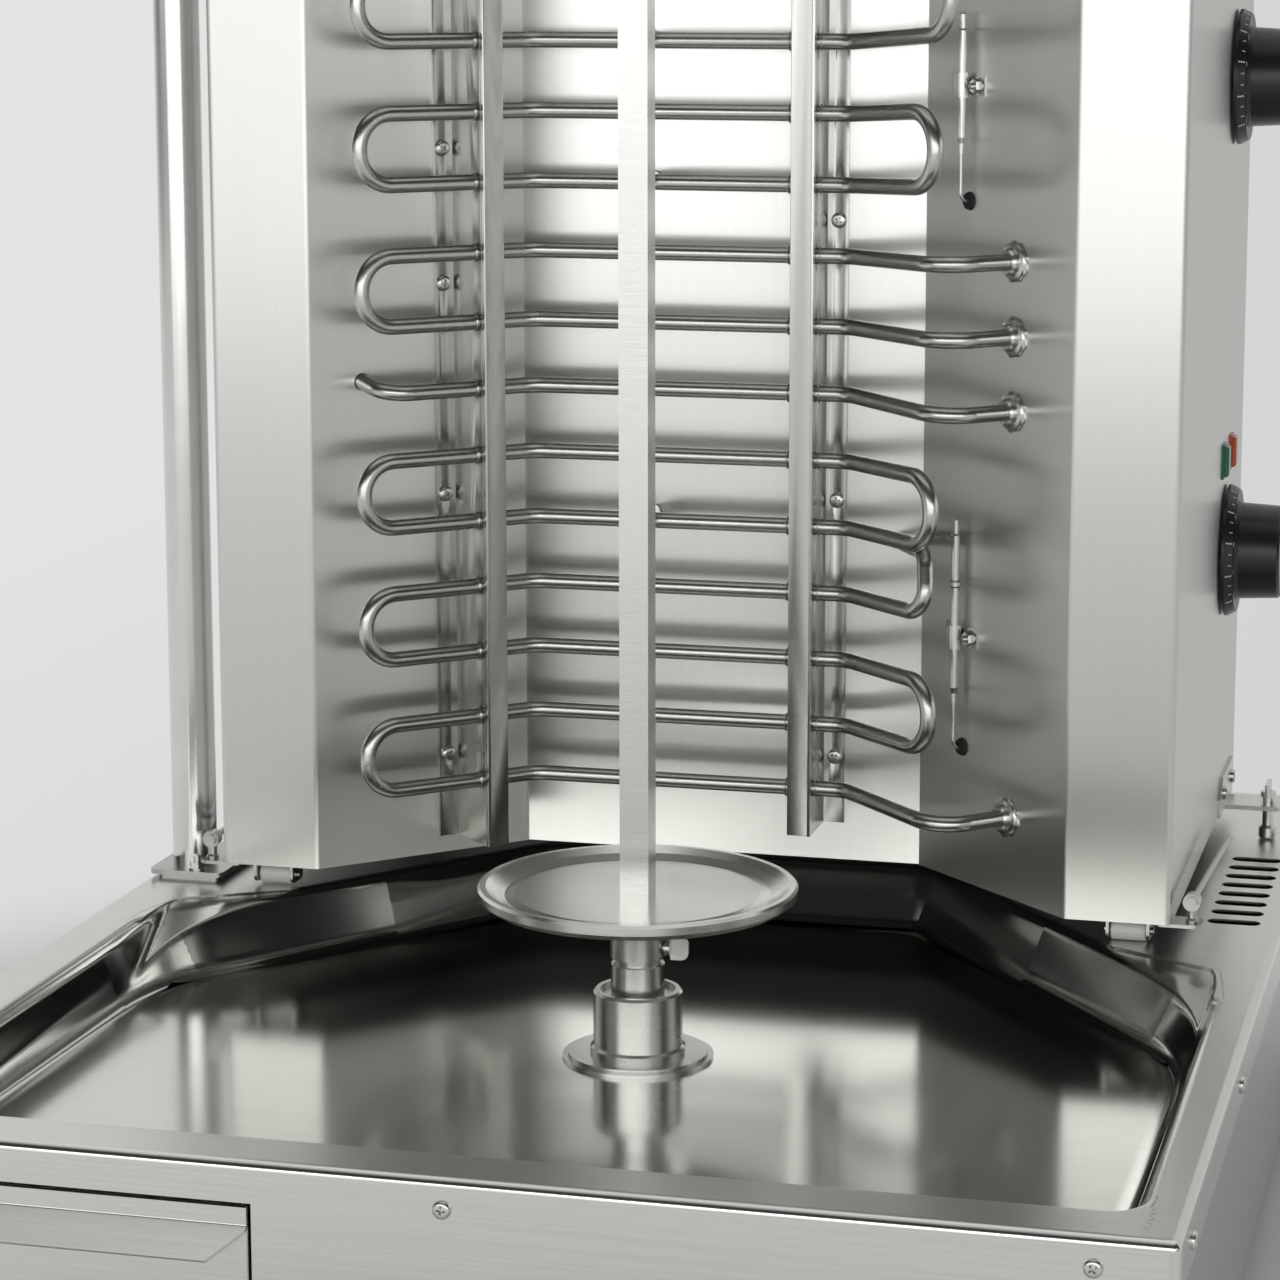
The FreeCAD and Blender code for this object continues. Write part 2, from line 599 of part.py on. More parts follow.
def skewer():
    """Square bar that narrows to a round journal at the top."""
    half = SKEWER_SIDE / 2
    bar = box(-half, half, -half, half, SKEWER_BOTTOM_Z, JOURNAL_START_Z)
    taper = Part.makeCone(half * math.sqrt(2), JOURNAL_RADIUS, JOURNAL_START_Z - SKEWER_SHOULDER_Z,
                          V(0, 0, SKEWER_SHOULDER_Z))
    lower = rod(half * 2, V(0, 0, SKEWER_BOTTOM_Z), V(0, 0, SKEWER_SHOULDER_Z))
    bar = bar.common(lower.fuse(taper))
    journal = rod(JOURNAL_RADIUS, V(0, 0, JOURNAL_START_Z), V(0, 0, SKEWER_TOP_Z - 2))
    tip = Part.makeCone(JOURNAL_RADIUS, JOURNAL_RADIUS - 1.5, 2.0, V(0, 0, SKEWER_TOP_Z - 2))
    bar = bar.fuse([journal, tip])
    bar.translate(V(SPIT_X, SPIT_Y, 0))
    return bar


def meat_plate():
    """Round dished plate with a raised rim and a square hole for the skewer."""
    floor = PLATE_RIM_Z - 3.8
    edge = PLATE_RADIUS
    profile = [(0, PLATE_BOTTOM_Z), (edge - 4, PLATE_BOTTOM_Z), (edge, PLATE_BOTTOM_Z + 3),
               (edge, PLATE_RIM_Z - 1.2), (edge - 1.2, PLATE_RIM_Z), (edge - 4, PLATE_RIM_Z),
               (edge - 8, PLATE_RIM_Z - 2.6), (edge - 13, floor - 0.9), (edge - 18, floor), (0, floor)]
    plate = turned(profile, SPIT_X, SPIT_Y)
    return plate.cut(square_hole(PLATE_BOTTOM_Z - 1, PLATE_RIM_Z + 1))


def square_hole(z0, z1):
    """Cutter for the skewer's square hole."""
    half = SKEWER_SIDE / 2 + 0.1
    return box(SPIT_X - half, SPIT_X + half, SPIT_Y - half, SPIT_Y + half, z0, z1)


def plate_boss():
    """Boss under the plate: round socket below, square socket above, thumb-screw hole at its side."""
    profile = [(0, BOSS_BOTTOM_Z), (BOSS_RADIUS - 0.8, BOSS_BOTTOM_Z), (BOSS_RADIUS, BOSS_BOTTOM_Z + 0.8),
               (BOSS_RADIUS, PLATE_BOTTOM_Z), (0, PLATE_BOTTOM_Z)]
    boss = turned(profile, SPIT_X, SPIT_Y)
    socket = rod(SPIGOT_RADIUS + 0.1, V(SPIT_X, SPIT_Y, BOSS_BOTTOM_Z), V(SPIT_X, SPIT_Y, SKEWER_BOTTOM_Z))
    hole_start = V(SPIT_X, SPIT_Y, THUMB_SCREW_Z)
    thread = rod(THUMB_SCREW_RADIUS + RUNNING_GAP, hole_start, hole_start + V(BOSS_RADIUS + 1, 0, 0))
    return boss.cut(socket).cut(square_hole(SKEWER_BOTTOM_Z, PLATE_BOTTOM_Z + 1)).cut(thread)


def thumb_screw():
    """Screw with a rounded leaf head that locks the boss on its spigot."""
    centre = V(SPIT_X, SPIT_Y, THUMB_SCREW_Z)
    shank = rod(THUMB_SCREW_RADIUS, centre + V(SPIGOT_RADIUS + 0.15, 0, 0), centre + V(BOSS_RADIUS + 2, 0, 0))
    collar = rod(3.8, centre + V(BOSS_RADIUS + 0.6, 0, 0), centre + V(BOSS_RADIUS + 3.0, 0, 0))
    x0 = SPIT_X + BOSS_RADIUS + 3.0
    leaf = box(x0, x0 + 9.0, SPIT_Y - 1.1, SPIT_Y + 1.1, THUMB_SCREW_Z - 5.5, THUMB_SCREW_Z + 5.5)
    ends = [edge for edge in leaf.Edges if abs(edge.tangentAt(0).y) > 0.99 and edge.CenterOfMass.x > x0 + 5]
    leaf = leaf.makeFillet(4.2, ends)
    return shank.fuse([collar, leaf])


# ---------------------------------------------------------------- pole and upper bearing
POLE_PAD_THICKNESS = 2.2          # packing under the foot plate
POLE_PLATE_TOP_Z = RIM_HEIGHT + 4.8
POLE_BOLTS = ((-273.5, 43.5), (-268.0, 92.0))
ARM_HEIGHT = 14.0
PIN_RADIUS = 8.0
PIN_BOTTOM_Z = JOURNAL_START_Z + 1.0
PIN_TOP_Z = 812.0


def pole():
    """Round column at the left of the tower."""
    column = rod(POLE_RADIUS, V(POLE_X, POLE_Y, POLE_PLATE_TOP_Z), V(POLE_X, POLE_Y, POLE_TOP_Z))
    return column.makeFillet(2.0, level_edges(column, POLE_TOP_Z))


def pole_foot():
    """Thin foot plate of the column on a smaller packing piece, bolted to the rim."""
    left, right, front, back = -298.5, -257.0, 36.5, 100.0
    inset = 3.5
    pad_top = RIM_HEIGHT + POLE_PAD_THICKNESS
    pad = rounded_block(left + inset, right - inset, front + inset, back - inset, RIM_HEIGHT, pad_top, 3.0)
    foot = pad.fuse(rounded_block(left, right, front, back, pad_top, POLE_PLATE_TOP_Z, 4.0))
    for x, y in POLE_BOLTS:
        foot = foot.cut(rod(2.2, V(x, y, RIM_HEIGHT - 1), V(x, y, POLE_PLATE_TOP_Z + 1)))
    return foot.removeSplitter()


def pole_bolts():
    """Stud, nut and washer on the foot plate."""
    bolts = []
    top = POLE_PLATE_TOP_Z
    for x, y in POLE_BOLTS:
        washer = rod(4.6, V(x, y, top), V(x, y, top + 0.9))
        nut = hexagon(7.0, V(x, y, top + 0.9), V(x, y, top + 4.3))
        stud = rod(2.0, V(x, y, RIM_HEIGHT + 0.1), V(x, y, top + 7.5))
        bolts.append(washer.fuse([nut, stud]))
    return bolts


def top_arm():
    """Arm from the column to the upper bearing, with a clamp ring and a bearing bush."""
    ring_outer = POLE_RADIUS + 5.0
    bush_outer = PIN_RADIUS + 5.0
    low = ARM_BOTTOM_Z - 5
    high = ARM_BOTTOM_Z + ARM_HEIGHT + 5
    span = V(SPIT_X - POLE_X, SPIT_Y - POLE_Y, 0)
    bar = box(0, span.Length, -11, 11, ARM_BOTTOM_Z, ARM_BOTTOM_Z + ARM_HEIGHT)
    bar = bar.makeFillet(3.0, [edge for edge in bar.Edges if edge.Length > span.Length - 1])
    bar.rotate(V(0, 0, 0), Z_AXIS, math.degrees(math.atan2(span.y, span.x)))
    bar.translate(V(POLE_X, POLE_Y, 0))
    ring = rod(ring_outer, V(POLE_X, POLE_Y, low), V(POLE_X, POLE_Y, high))
    bush = rod(bush_outer, V(SPIT_X, SPIT_Y, low), V(SPIT_X, SPIT_Y, high))
    arm = bar.fuse([ring, bush])
    arm = arm.cut(rod(POLE_RADIUS + 0.1, V(POLE_X, POLE_Y, low - 1), V(POLE_X, POLE_Y, high + 1)))
    arm = arm.cut(rod(PIN_RADIUS + RUNNING_GAP, V(SPIT_X, SPIT_Y, low - 1), V(SPIT_X, SPIT_Y, high + 1)))
    screw_hole = rod(3.1, V(POLE_X, POLE_Y, ARM_BOTTOM_Z + ARM_HEIGHT / 2),
                     V(POLE_X, POLE_Y - ring_outer - 2, ARM_BOTTOM_Z + ARM_HEIGHT / 2))
    return arm.cut(screw_hole)


def arm_screw():
    """Socket screw that fixes the arm's clamp ring on the column."""
    start = V(POLE_X, POLE_Y - POLE_RADIUS - 0.3, ARM_BOTTOM_Z + ARM_HEIGHT / 2)
    shank = rod(3.0, start, start - V(0, 7, 0))
    head = rod(5.0, start - V(0, 7, 0), start - V(0, 13, 0))
    socket = hexagon(5, start - V(0, 10, 0), start - V(0, 14, 0))
    return shank.fuse(head).cut(socket)


def top_pin():
    """Sliding sleeve whose bore holds the skewer's journal; it is lifted to free the skewer."""
    pin = rod(PIN_RADIUS, V(SPIT_X, SPIT_Y, PIN_BOTTOM_Z), V(SPIT_X, SPIT_Y, PIN_TOP_Z))
    return pin.cut(rod(JOURNAL_RADIUS + RUNNING_GAP, V(SPIT_X, SPIT_Y, PIN_BOTTOM_Z - 1),
                       V(SPIT_X, SPIT_Y, SKEWER_TOP_Z + 2)))


def top_pin_knob():
    """Round knob on the sleeve."""
    profile = [(0, PIN_TOP_Z), (9.0, PIN_TOP_Z), (13.0, PIN_TOP_Z + 3), (13.0, PIN_TOP_Z + 9),
               (11.0, PIN_TOP_Z + 12), (0, PIN_TOP_Z + 13)]
    return turned(profile, SPIT_X, SPIT_Y)


# ---------------------------------------------------------------- heating tower: sheet metal
PANEL_FOOT = V(REFLECTOR_HALF_WIDTH, REFLECTOR_Y, 0)
PANEL_HEAD = V(TOWER_HALF - FRONT_FLANGE, TOWER_FRONT_Y, 0)
PANEL_ALONG = V(PANEL_HEAD - PANEL_FOOT).normalize()
PANEL_OUT = V(PANEL_ALONG.y, -PANEL_ALONG.x, 0)       # from the right panel towards the meat
PANEL_START = 2.2                                     # gap beside the fold of the back reflector
REFLECTOR_LAP = 12.0
LAP_OFFSET = 1.9                                      # reflector's flange behind the panel's face
REAR_FLANGE = 15.0
LAMP_ABOVE_KNOB = 52.0
LAMP_Y = (226.0, 266.0)                               # green, orange
LAMP_HALF_WIDTH, LAMP_HALF_HEIGHT = 6.5, 9.5
SWITCH_Z = RIM_HEIGHT + 545.0
SWITCH_HALF_WIDTH, SWITCH_HALF_HEIGHT = 11.0, 15.0
LID_SLOTS = 7
LID_SLOT_PITCH = 30.0
LOUVRE_ROWS = 3
LOUVRE_PITCH = 20.0
LOUVRE_SPREAD = 120.0
GLAND_HOLE = 5.2
GROMMET_HOLE = 3.6


def panel_point(along, out, z, side=1):
    """Point given by its distance along and in front of an angled panel."""
    point = PANEL_FOOT + PANEL_ALONG * along + PANEL_OUT * out
    return V(side * point.x, point.y, z)


def panel_out(side=1):
    """Direction from an angled panel towards the meat."""
    return V(side * PANEL_OUT.x, PANEL_OUT.y, 0)


def casing_sheet(side):
    """Side wall, front face and angled reflector, folded from one sheet."""
    half = TOWER_HALF
    start = panel_point(PANEL_START, 0, TOWER_BOTTOM_Z)
    path = [start] + flat_points([(PANEL_HEAD.x, PANEL_HEAD.y), (half, TOWER_FRONT_Y), (half, TOWER_BACK_Y),
                                  (half - REAR_FLANGE, TOWER_BACK_Y)], TOWER_BOTTOM_Z)
    sheet = bent_sheet(path, SHEET, 2.0).extrude(V(0, 0, TOWER_TOP_Z - TOWER_BOTTOM_Z))
    return sheet if side > 0 else mirrored(sheet)


def casing_left():
    """Left casing with the heating rod's pass-through."""
    return with_passages(casing_sheet(-1))


def casing_right():
    """Right casing with the openings for controls, terminals and probes."""
    sheet = casing_sheet(1)
    reach = V(5, 0, 0)
    for z in KNOB_Z:
        shaft = V(TOWER_HALF, KNOB_Y, z)
        sheet = sheet.cut(rod(5.0, shaft - reach, shaft + reach))
        for y in LAMP_Y:
            lamp_z = z + LAMP_ABOVE_KNOB
            sheet = sheet.cut(box(TOWER_HALF - 5, TOWER_HALF + 5, y - LAMP_HALF_WIDTH + 1, y + LAMP_HALF_WIDTH - 1,
                                  lamp_z - LAMP_HALF_HEIGHT + 1, lamp_z + LAMP_HALF_HEIGHT - 1))
    sheet = sheet.cut(box(TOWER_HALF - 5, TOWER_HALF + 5, KNOB_Y - SWITCH_HALF_WIDTH, KNOB_Y + SWITCH_HALF_WIDTH,
                          SWITCH_Z - SWITCH_HALF_HEIGHT, SWITCH_Z + SWITCH_HALF_HEIGHT))
    for place in terminal_places():
        sheet = sheet.cut(rod(GLAND_HOLE, place - PANEL_OUT * 5, place + PANEL_OUT * 5))
    for spans in PROBE_SPANS:
        place = panel_point(PROBE_ALONG, 0, RIM_HEIGHT + spans[2])
        sheet = sheet.cut(rod(GROMMET_HOLE, place - PANEL_OUT * 5, place + PANEL_OUT * 5))
    return sheet


def back_reflector():
    """Flat reflector between the angled panels, with side flanges behind them."""
    corner = PANEL_FOOT + X_AXIS * (LAP_OFFSET / -PANEL_ALONG.y)
    end = corner + PANEL_ALONG * REFLECTOR_LAP
    half = [(corner.x, corner.y), (end.x, end.y)]
    path = flat_points([(-x, y) for x, y in half[::-1]] + half, TOWER_BOTTOM_Z)
    sheet = bent_sheet(path, SHEET, 1.5).extrude(V(0, 0, TOWER_TOP_Z - TOWER_BOTTOM_Z))
    return with_passages(sheet)


def tower_floor():
    """Plate that closes the casing below and carries the rollers."""
    half = TOWER_HALF - SHEET
    front = TOWER_FRONT_Y + SHEET
    clear = SHEET + LAP_OFFSET + 0.5
    head = PANEL_HEAD - PANEL_OUT * clear
    foot = PANEL_FOOT - PANEL_OUT * clear
    right = [(half, TOWER_BACK_Y - SHEET), (half, front), (head.x + 3, front), (foot.x, foot.y)]
    plate = prism(right + [(-x, y) for x, y in right[::-1]], TOWER_BOTTOM_Z + 0.2, TOWER_BOTTOM_Z + 2.2)
    plate = plate.makeFillet(4.0, upright_edges(plate))
    for x in (-150.0, -75.0, 0.0, 75.0, 150.0):
        plate = plate.cut(slot(46.0, 8.0, x, TOWER_BACK_Y - 90, TOWER_BOTTOM_Z - 1, TOWER_BOTTOM_Z + 4))
    return plate


def tower_top():
    """Lid over the casings, with cooling slots at the back."""
    top = TOWER_TOP_Z + 2.0
    right = [(TOWER_HALF, TOWER_BACK_Y), (TOWER_HALF, TOWER_FRONT_Y), (PANEL_HEAD.x, TOWER_FRONT_Y),
             (PANEL_FOOT.x, PANEL_FOOT.y)]
    lid = prism(right + [(-x, y) for x, y in right[::-1]], TOWER_TOP_Z, top)
    lid = lid.makeFillet(3.2, upright_edges(lid))
    for index in range(LID_SLOTS):
        vent = slot(70.0, 6.0, 0, 0, TOWER_TOP_Z - 1, top + 1)
        vent.rotate(V(0, 0, 0), Z_AXIS, 90)
        vent.translate(V((index - (LID_SLOTS - 1) / 2) * LID_SLOT_PITCH, TOWER_BACK_Y - 70, 0))
        lid = lid.cut(vent)
    return lid


def rear_cover():
    """Removable back panel with rows of pressed louvres, below and above."""
    half = TOWER_HALF - SHEET - 2.3
    back = TOWER_BACK_Y - SHEET
    low, high = TOWER_BOTTOM_Z + 2.6, TOWER_TOP_Z - 0.4
    cover = box(-half, half, back - SHEET, back, low, high)
    for first_z in (low + 60, high - 100):
        for row in range(LOUVRE_ROWS):
            for x in (-LOUVRE_SPREAD, 0.0, LOUVRE_SPREAD):
                z = first_z + row * LOUVRE_PITCH
                cover = cover.fuse(louvre(x, back, z)).cut(louvre_opening(x, back, z))
    return cover


def louvre(x, back, z):
    """Half-round hood that stands out of the back panel."""
    hood = rod(6.0, V(x - 40, back - SHEET, z), V(x + 40, back - SHEET, z))
    return hood.common(box(x - 41, x + 41, back - SHEET, back + 7, z, z + 7))


def louvre_opening(x, back, z):
    """Hollow under a louvre's hood."""
    hollow = rod(6.0 - SHEET, V(x - 39, back - SHEET, z), V(x + 39, back - SHEET, z))
    return hollow.common(box(x - 40, x + 40, back - SHEET - 1, back + 7, z - 1, z + 7))


# ---------------------------------------------------------------- heating tower: wheels on the rim
AXLE_RADIUS = 2.0
EAR_GAP = 0.4
EAR_THICKNESS = 1.5


def roller_places():
    """Centres of the four rollers."""
    return {"front_left": (-ROLLER_X, ROLLER_Y[0]), "front_right": (ROLLER_X, ROLLER_Y[0]),
            "rear_left": (-ROLLER_X, ROLLER_Y[1]), "rear_right": (ROLLER_X, ROLLER_Y[1])}


def roller(x, y):
    """White plastic roller with rounded shoulders."""
    half = ROLLER_LENGTH / 2
    profile = [(AXLE_RADIUS + RUNNING_GAP, x - half), (ROLLER_RADIUS - 0.6, x - half),
               (ROLLER_RADIUS, x - half + 0.6), (ROLLER_RADIUS, x + half - 0.6),
               (ROLLER_RADIUS - 0.6, x + half), (AXLE_RADIUS + RUNNING_GAP, x + half)]
    return turned_about_x(profile, y, ROLLER_AXLE_Z)


def roller_forks():
    """Folded fork with its riveted pin above each roller, welded under the floor plate."""
    forks = []
    inner = ROLLER_LENGTH / 2 + EAR_GAP
    outer = inner + EAR_THICKNESS
    top = TOWER_BOTTOM_Z + 0.2
    for x, y in roller_places().values():
        crown = box(x - outer, x + outer, y - 12, y + 12, top - EAR_THICKNESS, top)
        fork = crown
        for side in (-1, 1):
            x0, x1 = sorted((x + side * inner, x + side * outer))
            ear = box(x0, x1, y - 8, y + 8, ROLLER_AXLE_Z - 3.6, top)
            low = [edge for edge in ear.Edges if abs(edge.tangentAt(0).x) > 0.99
                   and edge.CenterOfMass.z < ROLLER_AXLE_Z]
            fork = fork.fuse(ear.makeFillet(3.4, low))
        forks.append(fork.fuse(axle(x, y)).removeSplitter())
    return compound(forks)


def axle(x, y):
    """Pin riveted through one fork."""
    reach = ROLLER_LENGTH / 2 + EAR_GAP + EAR_THICKNESS + 1.5
    return rod(AXLE_RADIUS, V(x - reach, y, ROLLER_AXLE_Z), V(x + reach, y, ROLLER_AXLE_Z))


# ---------------------------------------------------------------- heating tower: rod supports
LEFT_SUPPORT_LOW_Z = RIM_HEIGHT + 24.2
RIGHT_SUPPORT_LOW_Z = RIM_HEIGHT + 35.3
SUPPORT_HIGH_Z = RIM_HEIGHT + 585.0
BAR_WIDTH = 12.5
WEB_THICKNESS = 1.5
BRACKET_DEPTH = 34.0
SUPPORT_FLANGE = 11.0
SUPPORT_SCREW = 6.0               # screw line on the flange
ROD_PLAY = 0.4
ROWS = 15
SPLIT_ROWS = (5, 10, 12)          # rods whose ends turn back through the reflector behind the skewer
RIGHT_WEB_X = 56.0
LEFT_WEB_ALONG = 44.5             # from the left panel's foot
LEFT_SCREW_Z = (69.0, 209.0, 320.0, 390.0, 535.0)
RIGHT_SCREW_Z = (71.0, 208.0, 354.0, 500.0)


def row_z(row):
    """Height of a heating rod row, counted from 1 at the bottom."""
    low_rows = min(row, ROWS_LOW) - 1
    return ROW_LOW_Z + low_rows * ROW_PITCH_LOW + max(row - ROWS_LOW, 0) * ROW_PITCH_HIGH


def support(low_z, screw_heights):
    """Bracket on the plane y = 0: flange on the reflector, web standing towards -Y, an opening per rod."""
    flange = box(0, SUPPORT_FLANGE, -WEB_THICKNESS, 0, low_z, SUPPORT_HIGH_Z)
    web = box(-WEB_THICKNESS, 0, -BRACKET_DEPTH, 0, low_z, SUPPORT_HIGH_Z)
    bracket = flange.fuse(web)
    for row in range(1, ROWS + 1):
        centre = V(0, -ROD_STANDOFF, row_z(row))
        bracket = bracket.cut(rod(ROD_RADIUS + ROD_PLAY, centre - X_AXIS * 3, centre + X_AXIS * 3))
    for height in screw_heights:
        seat = V(SUPPORT_SCREW, 0, RIM_HEIGHT + height)
        bracket = bracket.cut(rod(2.2, seat - Y_AXIS * 3, seat + Y_AXIS))
    return bracket.removeSplitter()


def support_front(low_z):
    """Bar along the front of a support's web, with a raised outer edge."""
    front = -BRACKET_DEPTH
    bar = box(-BAR_WIDTH, 0, front - WEB_THICKNESS, front, low_z, SUPPORT_HIGH_Z)
    edge = box(-WEB_THICKNESS, 0, front - 3.0, front - WEB_THICKNESS, low_z, SUPPORT_HIGH_Z)
    return bar.fuse(edge).removeSplitter()


def support_screws(heights):
    """Screws through a support's flange."""
    seats = [V(SUPPORT_SCREW, -WEB_THICKNESS, RIM_HEIGHT + z) for z in heights]
    return compound([pan_head_screw(seat, V(0, -1, 0), shank=1.4) for seat in seats])


def on_right(shape):
    """Place a support on the back reflector."""
    copy = shape.copy()
    copy.translate(V(RIGHT_WEB_X, REFLECTOR_Y, 0))
    return copy


def on_left(shape):
    """Place a support, mirrored, on the left angled panel."""
    copy = mirrored(shape)
    copy.rotate(V(0, 0, 0), Z_AXIS, PANEL_ANGLE)
    copy.translate(panel_point(LEFT_WEB_ALONG, 0, 0, -1))
    return copy


# ---------------------------------------------------------------- heating elements
LOOP_ALONG_LEFT = 110.0           # loops' ends, measured along each angled panel
LOOP_ALONG_RIGHT = 69.0
LOOP_ALONG_WIDE = 80.5
WIDE_LOOP_ROW = 12
LOOP_ROUNDNESS = 0.96             # loop's radius over half the distance of its rows
LIFT_STEP = 1.5                   # right ends of the high rows stand higher, growing row by row
TERMINAL_ALONG = 78.0
TERMINAL_BEND = 18.0
TERMINAL_DROP = 2.8               # right terminals of the low rows stand lower
TERMINAL_ROWS = (1, 7, 8, 9, 14, 15)
TAIL_X = (-39.7, -30.3)
TAIL_LEAN = 0.25
TAIL_BEND = 7.0
RISER_ROW = 4
RISER_ALONG = 66.0
RISER_TOP = V(-3.0, 11.6, 29.6)   # from the riser's foot to its top
RISER_BEND = 11.0
RISER_HOLE_X = 94.0
RISER_HOLE_DROP = 5.1             # hole's centre under the riser's top
LEFT_END_ROW = 7
LEFT_END_ALONG = 97.0
LEFT_END_RISE = 3.7
LEFT_END_BEND = 14.0
BEHIND = 16.0                     # rod length behind a reflector
ROD_Y = REFLECTOR_Y - ROD_STANDOFF
RIGHT_OUT = ((PANEL_FOOT.x - ROD_BEND_RIGHT_X) * -PANEL_ALONG.y
             + (PANEL_FOOT.y - ROD_Y) * PANEL_ALONG.x)


def rod_out(side):
    """Distance of the rods from the angled panel on one side."""
    return RIGHT_OUT if side > 0 else ROD_STANDOFF


def rod_bend(side, row):
    """Bend between a row's straight part and its part along an angled panel."""
    out = rod_out(side)
    along = (REFLECTOR_Y + PANEL_OUT.y * out - ROD_Y) / -PANEL_ALONG.y
    return [(panel_point(along, out, row_z(row), side), ROD_BEND_RADIUS)]


def leftwards(row):
    """Row run from right to left."""
    return rod_bend(1, row) + rod_bend(-1, row)


def rightwards(row):
    """Row run from left to right."""
    return rod_bend(-1, row) + rod_bend(1, row)


def end_z(side, row):
    """Height of a row's outer end."""
    lift = max(row - ROWS_LOW, 0) * LIFT_STEP
    return row_z(row) + (lift if side > 0 else 0)


def loop(side, row_from, row_to):
    """Return bend between two rows."""
    along = LOOP_ALONG_LEFT
    if side > 0:
        along = LOOP_ALONG_WIDE if WIDE_LOOP_ROW in (row_from, row_to) else LOOP_ALONG_RIGHT
    heights = [end_z(side, row) for row in (row_from, row_to)]
    radius = abs(heights[1] - heights[0]) / 2 * LOOP_ROUNDNESS
    return [(panel_point(along, rod_out(side), z, side), radius) for z in heights]


def terminal_z(row):
    """Height of a right end that passes a gland."""
    return end_z(1, row) - (TERMINAL_DROP if row < ROWS_LOW else 0)


def terminal(row):
    """Right end that turns straight into the panel."""
    z = terminal_z(row)
    return [(panel_point(TERMINAL_ALONG, -BEHIND, z), 0), (panel_point(TERMINAL_ALONG, RIGHT_OUT, z), TERMINAL_BEND)]


def through(bend, hole):
    """End of a rod that runs from a bend through a hole and on behind the sheet."""
    return hole + V(hole - bend).normalize() * BEHIND


def tail_ends(row):
    """Bend and hole of both ends that turn back behind the skewer."""
    z = row_z(row)
    return [(V(x, ROD_Y, z), V(x - TAIL_LEAN * ROD_STANDOFF, REFLECTOR_Y, z)) for x in TAIL_X]


def riser_ends():
    """Foot, top and hole of the end that turns up and back behind the loop above it."""
    foot = panel_point(RISER_ALONG, RIGHT_OUT, row_z(RISER_ROW))
    top = foot + RISER_TOP
    return foot, top, V(RISER_HOLE_X, REFLECTOR_Y, top.z - RISER_HOLE_DROP)


def left_end():
    """Bend and hole of the end that turns into the left panel."""
    z = row_z(LEFT_END_ROW)
    return (panel_point(LEFT_END_ALONG, ROD_STANDOFF, z, -1),
            panel_point(LEFT_END_ALONG, 0, z + LEFT_END_RISE, -1))


def with_passages(sheet):
    """Sheet with the holes of all rod ends that pass it without a gland."""
    passages = [left_end(), riser_ends()[1:]]
    for row in SPLIT_ROWS:
        passages += tail_ends(row)
    for bend, hole in passages:
        reach = V(hole - bend).normalize() * 8
        sheet = sheet.cut(rod(ROD_RADIUS + ROD_PLAY, hole - reach, hole + reach))
    return sheet


def bent_rod(stops, radius):
    """Round rod along points with their bend radii."""
    points = [point for point, bend in stops]
    bends = [bend for point, bend in stops[1:-1]]
    path = Part.Wire(rounded_edges(points, bends))
    start_direction = points[1] - points[0]
    profile = Part.Wire([Part.makeCircle(radius, points[0], start_direction)])
    return path.makePipeShell([profile], True, False)


def ring_path(low):
    """Closed double row whose two ends turn back behind the skewer."""
    high = low + 1
    (left_bend, left_hole), (right_bend, right_hole) = tail_ends(low)
    start = [(through(left_bend, left_hole), 0), (left_bend, TAIL_BEND)]
    finish = [(right_bend, TAIL_BEND), (through(right_bend, right_hole), 0)]
    return (start + rod_bend(-1, low) + loop(-1, low, high) + rightwards(high)
            + loop(1, high, low) + rod_bend(1, low) + finish)


def element_paths():
    """Centre lines of the seven heating elements, from bottom to top."""
    foot, top, hole = riser_ends()
    rising_end = [(foot, RISER_BEND), (top, RISER_BEND), (through(top, hole), 0)]
    bend, left_hole = left_end()
    bottom = (terminal(1) + leftwards(1) + loop(-1, 1, 2) + rightwards(2) + loop(1, 2, 3) + leftwards(3)
              + loop(-1, 3, 4) + rightwards(4) + rising_end)
    single = terminal(7) + leftwards(7) + [(bend, LEFT_END_BEND), (through(bend, left_hole), 0)]
    pairs = [terminal(row) + leftwards(row) + loop(-1, row, row + 1) + rightwards(row + 1)
             + terminal(row + 1)[::-1] for row in (8, 14)]
    rings = [ring_path(row) for row in SPLIT_ROWS]
    return [bottom, rings[0], single, pairs[0], rings[1], rings[2], pairs[1]]


def terminal_places():
    """Points where rods pass the right panel."""
    return [panel_point(TERMINAL_ALONG, 0, terminal_z(row)) for row in TERMINAL_ROWS]


def element_glands():
    """Domed flange with a collar, sleeve and nut round each rod that passes the right panel."""
    bore = ROD_RADIUS + 0.1
    profile = [(bore, 0), (9.8, 0), (9.8, 0.8), (8.8, 1.8), (6.9, 2.4), (6.6, 4.6), (5.8, 6.0), (bore, 6.0)]
    dome = turned(profile, 0, 0)
    sleeve = tube(GLAND_HOLE - 0.1, bore, V(0, 0, -SHEET - 4), V(0, 0, 0.5))
    nut = hexagon(13, V(0, 0, -SHEET - 4), V(0, 0, -SHEET)).cut(rod(bore, V(0, 0, -9), V(0, 0, 0)))
    piece = dome.fuse([sleeve, nut]).removeSplitter()
    glands = []
    for place in terminal_places():
        gland = piece.copy()
        gland.Placement = FreeCAD.Placement(place, FreeCAD.Rotation(Z_AXIS.cross(PANEL_OUT), Z_AXIS, PANEL_OUT))
        glands.append(gland)
    return compound(glands)


# ---------------------------------------------------------------- thermostat probes
PROBE_ALONG = 39.4
PROBE_OUT = 6.0
BULB_RADIUS = 2.2
CAPILLARY_RADIUS = 0.9
PROBE_SPANS = ((206.0, 144.5, 86.0), (461.0, 425.0, 367.0))   # tip, clip and grommet above the rim
CLIP_HALF_HEIGHT = 6.2


